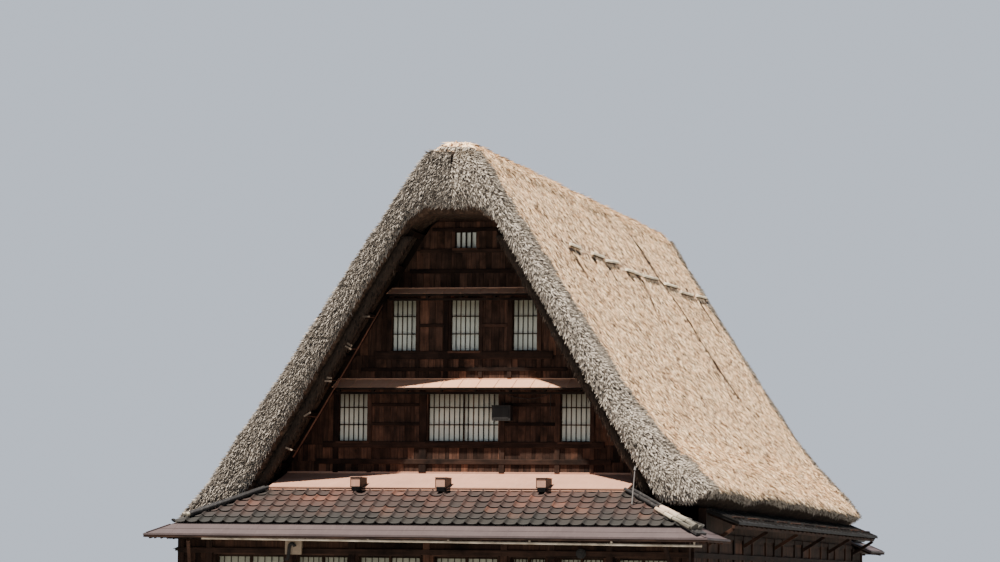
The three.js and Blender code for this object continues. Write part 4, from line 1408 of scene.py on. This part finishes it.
def vergeTimber(end, facing):
    bundles, poles, stubs = (Timbers(83 + k + facing, facing) for k in range(3))
    for sign in (-1, 1):
        vergeBundle(bundles, sign)
    piece = bundles.finish("vergeBundles" + end, shadeTuft, "thatch", bevel=0.0, smooth=True)
    addTufts("bundleStraw" + end, piece, lambda f: True, verge["straw"], shadeTuft)
    ends = [vergeSpot(-1, z, verge["poleIn"], verge["poleY"]) for z in verge["poleEnds"]]
    poles.pole(*ends, verge["poleRadius"], 10, taper=0.8, sag=verge["poleSag"], steps=10)
    tieIn, spread = verge["tieIn"], verge["stubSpread"]
    for z in verge["ties"]:
        knot = vergeSpot(-1, z - 0.02, verge["poleIn"] + 0.02, verge["poleY"])
        poles.pole(vergeSpot(-1, z, tieIn), knot, verge["tieRadius"], 6)
        for _ in range(stubs.dice.randint(*verge["stubs"])):
            start = vergeSpot(-1, z + stubs.dice.uniform(-spread, spread), tieIn, verge["y"] - 0.12)
            reach = stubs.dice.uniform(*verge["stubReach"])
            tip = start + Vector((reach, -0.02, reach * stubs.dice.uniform(-0.9, 0.7)))
            stubs.bar(start, tip, *verge["stub"], side=(0.0, 1.0, 0.0))
    poles.finish("vergePoles" + end, poleBark, "timber", bevel=0.0, smooth=True)
    stubs.finish("vergeStubs" + end, ropeStraw, "thatch", bevel=0.002)


def slopeRods():
    pale, dark = Timbers(86), Timbers(87)
    startX, startZ, lean = rods["slope"]
    across, drop = rods["fall"]
    for sign in (1.0, -1.0):
        def at(y, z, down, lift):
            x = startX + (startZ - z) * lean
            return Vector((sign * (x + across * down + drop * lift), y, z - drop * down + across * lift))

        for y, half, rise, z in rods["places"]:
            near, far = z - rise / 2, z + rise / 2
            pale.pole(at(y - half, near, 0.06, 0.034), at(y + half, far, 0.06, 0.034), rods["radius"], 10, taper=0.9)
            # A thin near-black stick under each rod and past its far end paints the rod's shadow
            dark.pole(at(y - half, near, 0.10, 0.024), at(y + half + 0.08, far, 0.10, 0.024), rods["under"], 8)
    pale.finish("slopeRods", paleWood, "timber")
    dark.finish("slopeRodShadowSticks", sashWood, "timber", bevel=0.0, smooth=True)


for end, facing in gableEnds:
    vergeTimber(end, facing)
slopeRods()
print("verges made")


# Ground storey walls
lower = {
    "foot": 0.21, "boards": (0.35, 2.60), "lintel": 2.71, "panels": (2.72, 2.80), "inner": 0.115,
    # Wall face, half length, then holes and posts
    "end": (-11.975, 5.28), "side": (-5.28, 11.81),
    "endHoles": (
        (-4.48, -3.04, 1.05, 2.58), (-2.78, -1.70, 1.05, 2.58), (-1.49, -0.19, 0.40, 2.58), (0.08, 1.40, 0.40, 2.58),
        (1.66, 2.38, 1.05, 2.58), (2.63, 3.56, 1.05, 2.58), (3.82, 4.85, 1.05, 2.58),
    ),
    "endPosts": (-5.21, -4.61, -2.92, -1.61, -0.06, 1.53, 2.50, 3.68, 5.0, 5.21),
    "sideHoles": tuple((y - 0.8, y + 0.8, 1.15, 2.35) for y in (-8.0, -4.0, 0.0, 4.0, 8.0)),
    "sidePosts": (-11.72, -10.1, -8.87, -7.13, -6.0, -4.87, -3.13, -2.0, -0.87,
                  0.87, 2.0, 3.13, 4.87, 6.0, 7.13, 8.87, 10.1, 11.72),
    # Name, facing, kind and height of each wall
    "walls": (("Front", 0, "end", 3.05), ("Back", 2, "end", 3.05),
              ("Right", 1, "side", 3.11), ("Left", 3, "side", 2.90)),
}


def wallWork(name, facing, kind, head):
    # Boards, posts, rails and sashes of one wall
    face, half = lower[kind]
    holes, postPlaces = lower[kind + "Holes"], lower[kind + "Posts"]
    foot, inner = lower["foot"], face + lower["inner"]
    boards, posts, rails, sashes = (Timbers(90 + 7 * facing + k, facing) for k in range(4))
    sill, top = lower["boards"]
    boardRow(boards, -half, half, sill, top, face - 0.020, face - 0.001, holes)
    panelFoot, split = lower["panels"]
    split += (head - split) / 2
    for a, b in zip(postPlaces, postPlaces[1:]):
        if b - a > 0.25:
            for z0, z1 in ((panelFoot, split - 0.003), (split + 0.003, head - 0.023)):
                boards.box(a + 0.05, b - 0.05, face - 0.016, face - 0.001, z0, z1)
    boards.finish("wallBoards" + name, wallWood, "dark_timber", bevel=0.002)
    for x in postPlaces:
        posts.box(x - 0.068, x + 0.068, face - 0.052, face - 0.001, foot + 0.001, head)
    posts.finish("wallPosts" + name, postWood, "dark_timber", bevel=0.008)
    for z0, z1, proud in ((foot + 0.002, sill, 0.062), (top, lower["lintel"], 0.060),
                          (head - 0.10, head - 0.005, 0.040)):
        rails.box(-half, half, face - proud, face - 0.001, z0, z1)
    for x0, x1, z0, z1 in holes:
        rails.box(x0 - 0.03, x1 + 0.03, face - 0.070, face + 0.11, z0 - 0.05, z0 + 0.004)
        rails.box(x0 - 0.03, x1 + 0.03, face - 0.058, face + 0.11, z1 - 0.004, z1 + 0.035)
        leaf, tall = (x1 - x0) / 2 + 0.015, z1 - z0
        # Bars of a door or a window: count, first place and pitch as shares of the height
        door = tall > 1.9
        bars, first, pitch = (6, 0.36, 0.107) if door else (4, 0.2, 0.2)
        for k, a in enumerate((x0, x1 - leaf)):
            y = inner + 0.018 * k
            sashes.add(runTree(latticeTree, {
                "Corner": (a, y, z0), "Width": leaf, "Height": tall, "Uprights": 4, "Crossbars": bars,
                "Cross start": tall * first, "Cross pitch": tall * pitch, "Bar": 0.016, "Frame": 0.045,
                "Depth": 0.015, "Wood": sashWood,
            }))
            if door:
                sashes.box(a + 0.03, a + leaf - 0.03, y - 0.006, y + 0.010, z0 + 0.03, z0 + tall * 0.34)
    rails.finish("wallRails" + name, railWood, "dark_timber", bevel=0.006)
    sashes.finish("wallSashes" + name, sashWood, "timber", bevel=0.0)


for wall in lower["walls"]:
    wallWork(*wall)
print("ground storey walls made")


# Lean-to roofs along the sides
lean = {
    "wall": -5.28, "eave": -5.95, "end": 10.18, "tangent": 0.39, "sheet": 0.91, "sagFrom": -5.6,
    "rafters": 34, "beam": (-5.86, -5.80), "braces": (-10.1, -6.0, -2.0, 2.0, 6.0, 10.1),
}


def leanTo(name, facing, wallZ):
    sheetsHere, timbers = Timbers(101 + facing, facing), Timbers(105 + facing, facing)
    dice = sheetsHere.dice
    wall, eave, end = lean["wall"], lean["eave"], lean["end"]
    eaveZ = wallZ - (wall - eave) * lean["tangent"]
    count = round(2 * end / lean["sheet"])
    for k in range(count):
        a = -end + 2 * end * k / count - 0.02
        b = a + 2 * end / count + 0.04
        out = eave - dice.uniform(0.0, 0.045)
        lift = 0.004 + 0.006 * (k % 2)
        sag = dice.uniform(-0.010, 0.004)
        spots = [(x, y, wallZ - (wall - y) * lean["tangent"] + lift + w + (sag if y < lean["sagFrom"] else 0.0))
                 for x in (a, b) for y in (out + dice.uniform(-0.01, 0.01), wall - 0.02) for w in (0.0, 0.006)]
        sheetsHere.solid(spots, boxFaces)
        for x in (a + 0.02, (a + b) / 2):
            sheetsHere.bar((x, out + 0.01, eaveZ + lift + 0.018), (x, wall - 0.03, wallZ + lift + 0.008),
                           0.022, 0.020)
        if k % 2 == 0:
            timbers.pole((a + 0.3, eave + 0.18, eaveZ + 0.10), (b + 0.5, eave + 0.16, eaveZ + 0.105), 0.024, 7)
    last = lean["rafters"] - 1
    for k in range(last + 1):
        x = -end + 0.15 + (2 * end - 0.3) * k / last
        timbers.bar((x, eave + 0.05, eaveZ - 0.062), (x, wall - 0.01, wallZ - 0.085), 0.05, 0.05)
    timbers.box(-end + 0.02, end - 0.02, *lean["beam"], eaveZ - 0.125, eaveZ - 0.062)
    for x in lean["braces"]:
        timbers.bar((x, wall - 0.02, wallZ - 0.72), (x, sum(lean["beam"]) / 2, eaveZ - 0.13), 0.06, 0.07)
    sheetsHere.finish("leanSheets" + name, leanSheet, "dull_metal", bevel=0.0)
    timbers.finish("leanTimber" + name, railWood, "timber", bevel=0.003)


leanTo("Right", 1, 3.60)
leanTo("Left", 3, 2.96)
print("lean-to roofs made")


# Foot stones round the platform
footing = {
    # Start and step of each row, count, and half size of its stones
    "rows": (
        ((-5.25, -12.06, 0.105), (0.42, 0.0, 0.0), 26, (0.235, 0.10, 0.105)),
        ((-5.25, 12.06, 0.105), (0.42, 0.0, 0.0), 26, (0.235, 0.10, 0.105)),
        ((5.37, -11.85, 0.105), (0.0, 0.42, 0.0), 57, (0.10, 0.235, 0.105)),
        ((-5.37, -11.85, 0.105), (0.0, 0.42, 0.0), 57, (0.10, 0.235, 0.105)),
    ),
}


def makeStoneTree():
    g = Build("footStones", {
        "Start": (0.0, 0.0, 0.0), "Step": (0.4, 0.0, 0.0), "Count": 20, "Size": (0.22, 0.12, 0.1), "Seed": 1,
        "Rock": None,
    })
    given = g.given
    line = g.line(given["Count"], given["Start"], given["Step"])
    shift = g.chanceVector((0.03, 0.03, 0.006), given["Seed"])
    loose = g.node("GeometryNodeSetPosition", {"Geometry": line, "Offset": shift}).outputs[0]
    ball = g.node("GeometryNodeMeshIcoSphere", {"Radius": 1.0, "Subdivisions": 2}).outputs["Mesh"]
    uneven = g.arrow("ADD", g.chanceVector((0.22, 0.22, 0.06), 93), g.vector(1.0, 1.0, 1.0))
    stones = g.spread(loose, ball, {"Scale": g.arrow("MULTIPLY", given["Size"], uneven),
                                    "Rotation": g.chanceVector((0.12, 0.12, 0.3), 94)})
    real = g.real(g.toned(stones, 95))
    spot = g.node("GeometryNodeInputPosition").outputs[0]
    bumps = g.node("ShaderNodeTexNoise", {"Vector": spot, "Scale": 5.0, "Detail": 2.0}).outputs["Color"]
    moved = g.arrow("SCALE", g.arrow("SUBTRACT", bumps, g.vector(0.5, 0.5, 0.5)), scale=0.11)
    rough = g.node("GeometryNodeSetPosition", {"Geometry": real, "Offset": moved}).outputs[0]
    return g.close(rough, given["Rock"])


def footStones():
    tree = makeStoneTree()
    t = Timbers(0)
    for number, (start, step, count, size) in enumerate(footing["rows"]):
        t.add(runTree(tree, {"Start": start, "Step": step, "Count": count, "Size": size, "Seed": 96 + number,
                             "Rock": footStone}))
    for corner in t.bm.verts:
        corner.co.z = max(0.0, corner.co.z)
    t.finish("footStones", footStone, "stone", bevel=0.0, smooth=True)


footStones()


# Small fittings at the front
fittings = {
    "box": (-2.97, -2.64, -12.105, 2.59, 2.90), "pipe": 0.035, "disc": (3.11, -12.035, 2.66),
    "mast": ((3.995, -11.417, 3.575), (4.036, -11.30, 4.42)),
    "cable": ((0.97, -9.46, 5.93), (1.20, -9.46, 5.87), (1.43, -9.46, 5.85), (1.68, -9.46, 5.89), (1.87, -9.46, 5.97),
              (1.87, -9.46, 5.50)),
    "cableRadius": 0.009, "brace": ((5.00, -12.03, 2.25), (4.88, -12.56, 2.86)),
    # The disc's three rounds: back and front, radius and sides
    "rounds": ((0.04, -0.03, 0.10, 24), (-0.028, -0.05, 0.07, 20), (-0.048, -0.06, 0.022, 12)),
}


def frontFittings():
    x0, x1, y, z0, z1 = fittings["box"]
    plastic, dark, wood, grey = Timbers(111), Timbers(112), Timbers(113), Timbers(114)
    plastic.box(x0 - 0.008, x1 + 0.008, y - 0.012, y + 0.004, z0 - 0.006, z1 + 0.006)
    plastic.box(x0 - 0.02, x1 + 0.02, y - 0.026, y + 0.13, z1, z1 + 0.016)
    plastic.box(x0 + 0.04, x1 - 0.04, y - 0.018, y - 0.010, z0 + 0.05, z1 - 0.07)
    plastic.finish("meterBoxCover", boxPlastic, "box_plastic", bevel=0.005)
    bend = [(x0 + 0.15 + 0.055 * math.cos(a), y - 0.045, z0 + 0.15 + 0.06 * math.sin(a))
            for a in (math.pi * k / 8 for k in range(9))]
    bend.append((x0 + 0.07, y - 0.045, z0 - 0.10))
    for a, b in zip(bend, bend[1:]):
        dark.pole(a, b, fittings["pipe"], 10)
    for a, b in zip(fittings["cable"], fittings["cable"][1:]):
        dark.pole(a, b, fittings["cableRadius"], 6)
    dark.box(x0 + 0.01, x0 + 0.08, y - 0.07, y + 0.01, z0 - 0.13, z0 - 0.08)
    x, y, z = fittings["disc"]
    for inner, outer, radius, sides in fittings["rounds"]:
        dark.pole((x, y + inner, z), (x, y + outer, z), radius, sides)
    foot, top = (Vector(spot) for spot in fittings["mast"])
    grey.pole(foot, top, 0.014, 8, taper=0.8, steps=4)
    grey.pole(foot.lerp(top, 0.90), foot.lerp(top, 0.97), 0.026, 10, taper=0.7)
    grey.pole(foot + Vector((0.0, 0.0, -0.02)), foot + Vector((0.0, 0.0, 0.03)), 0.05, 12, taper=0.6)
    galvanised = metalMaterial("galvanised", (0.20, 0.19, 0.185), (0.13, 0.12, 0.12), (0.26, 0.24, 0.22), 0.5, 0.2)
    grey.finish("mast", galvanised, "dull_metal", bevel=0.002)
    (a, b, c), (d, e, f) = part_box("gable_lamp")
    dark.box(a - 0.02, d + 0.02, b - 0.03, e, f, f + 0.012)
    dark.box(a - 0.012, d + 0.012, b - 0.012, b + 0.008, c - 0.008, f)
    dark.box(a + 0.03, d - 0.03, b - 0.018, b - 0.008, c + 0.03, f - 0.04)
    dark.bar(((a + d) / 2, e - 0.02, f + 0.01), ((a + d) / 2, e + 0.04, f + 0.14), 0.03, 0.03, side=(0.0, 1.0, 0.0))
    dark.finish("frontFittings", lampMetal, "lamp_metal", bevel=0.002)
    for sign in (1, -1):
        wood.bar(*((sign * x, y, z) for x, y, z in fittings["brace"]), 0.07, 0.08)
    wood.finish("eaveBraces", railWood, "timber", bevel=0.006)


frontFittings()
print("fittings made")


# Floor
ground = {"radius": 160.0, "sides": 64, "tone": (0.30, 0.295, 0.285)}


def addFloor():
    bm = bmesh.new()
    bmesh.ops.create_circle(bm, cap_ends=True, radius=ground["radius"], segments=ground["sides"])
    mesh = plainMesh("paleFloor", bm)
    material, _, shader = startMaterial("paleFloor", 0.9, 0.0, 0.2)
    shader.inputs["Base Color"].default_value = (*ground["tone"], 1.0)
    mesh.materials.append(material)
    floor = bpy.data.objects.new("paleFloor", mesh)
    scene.collection.objects.link(floor)


addFloor()
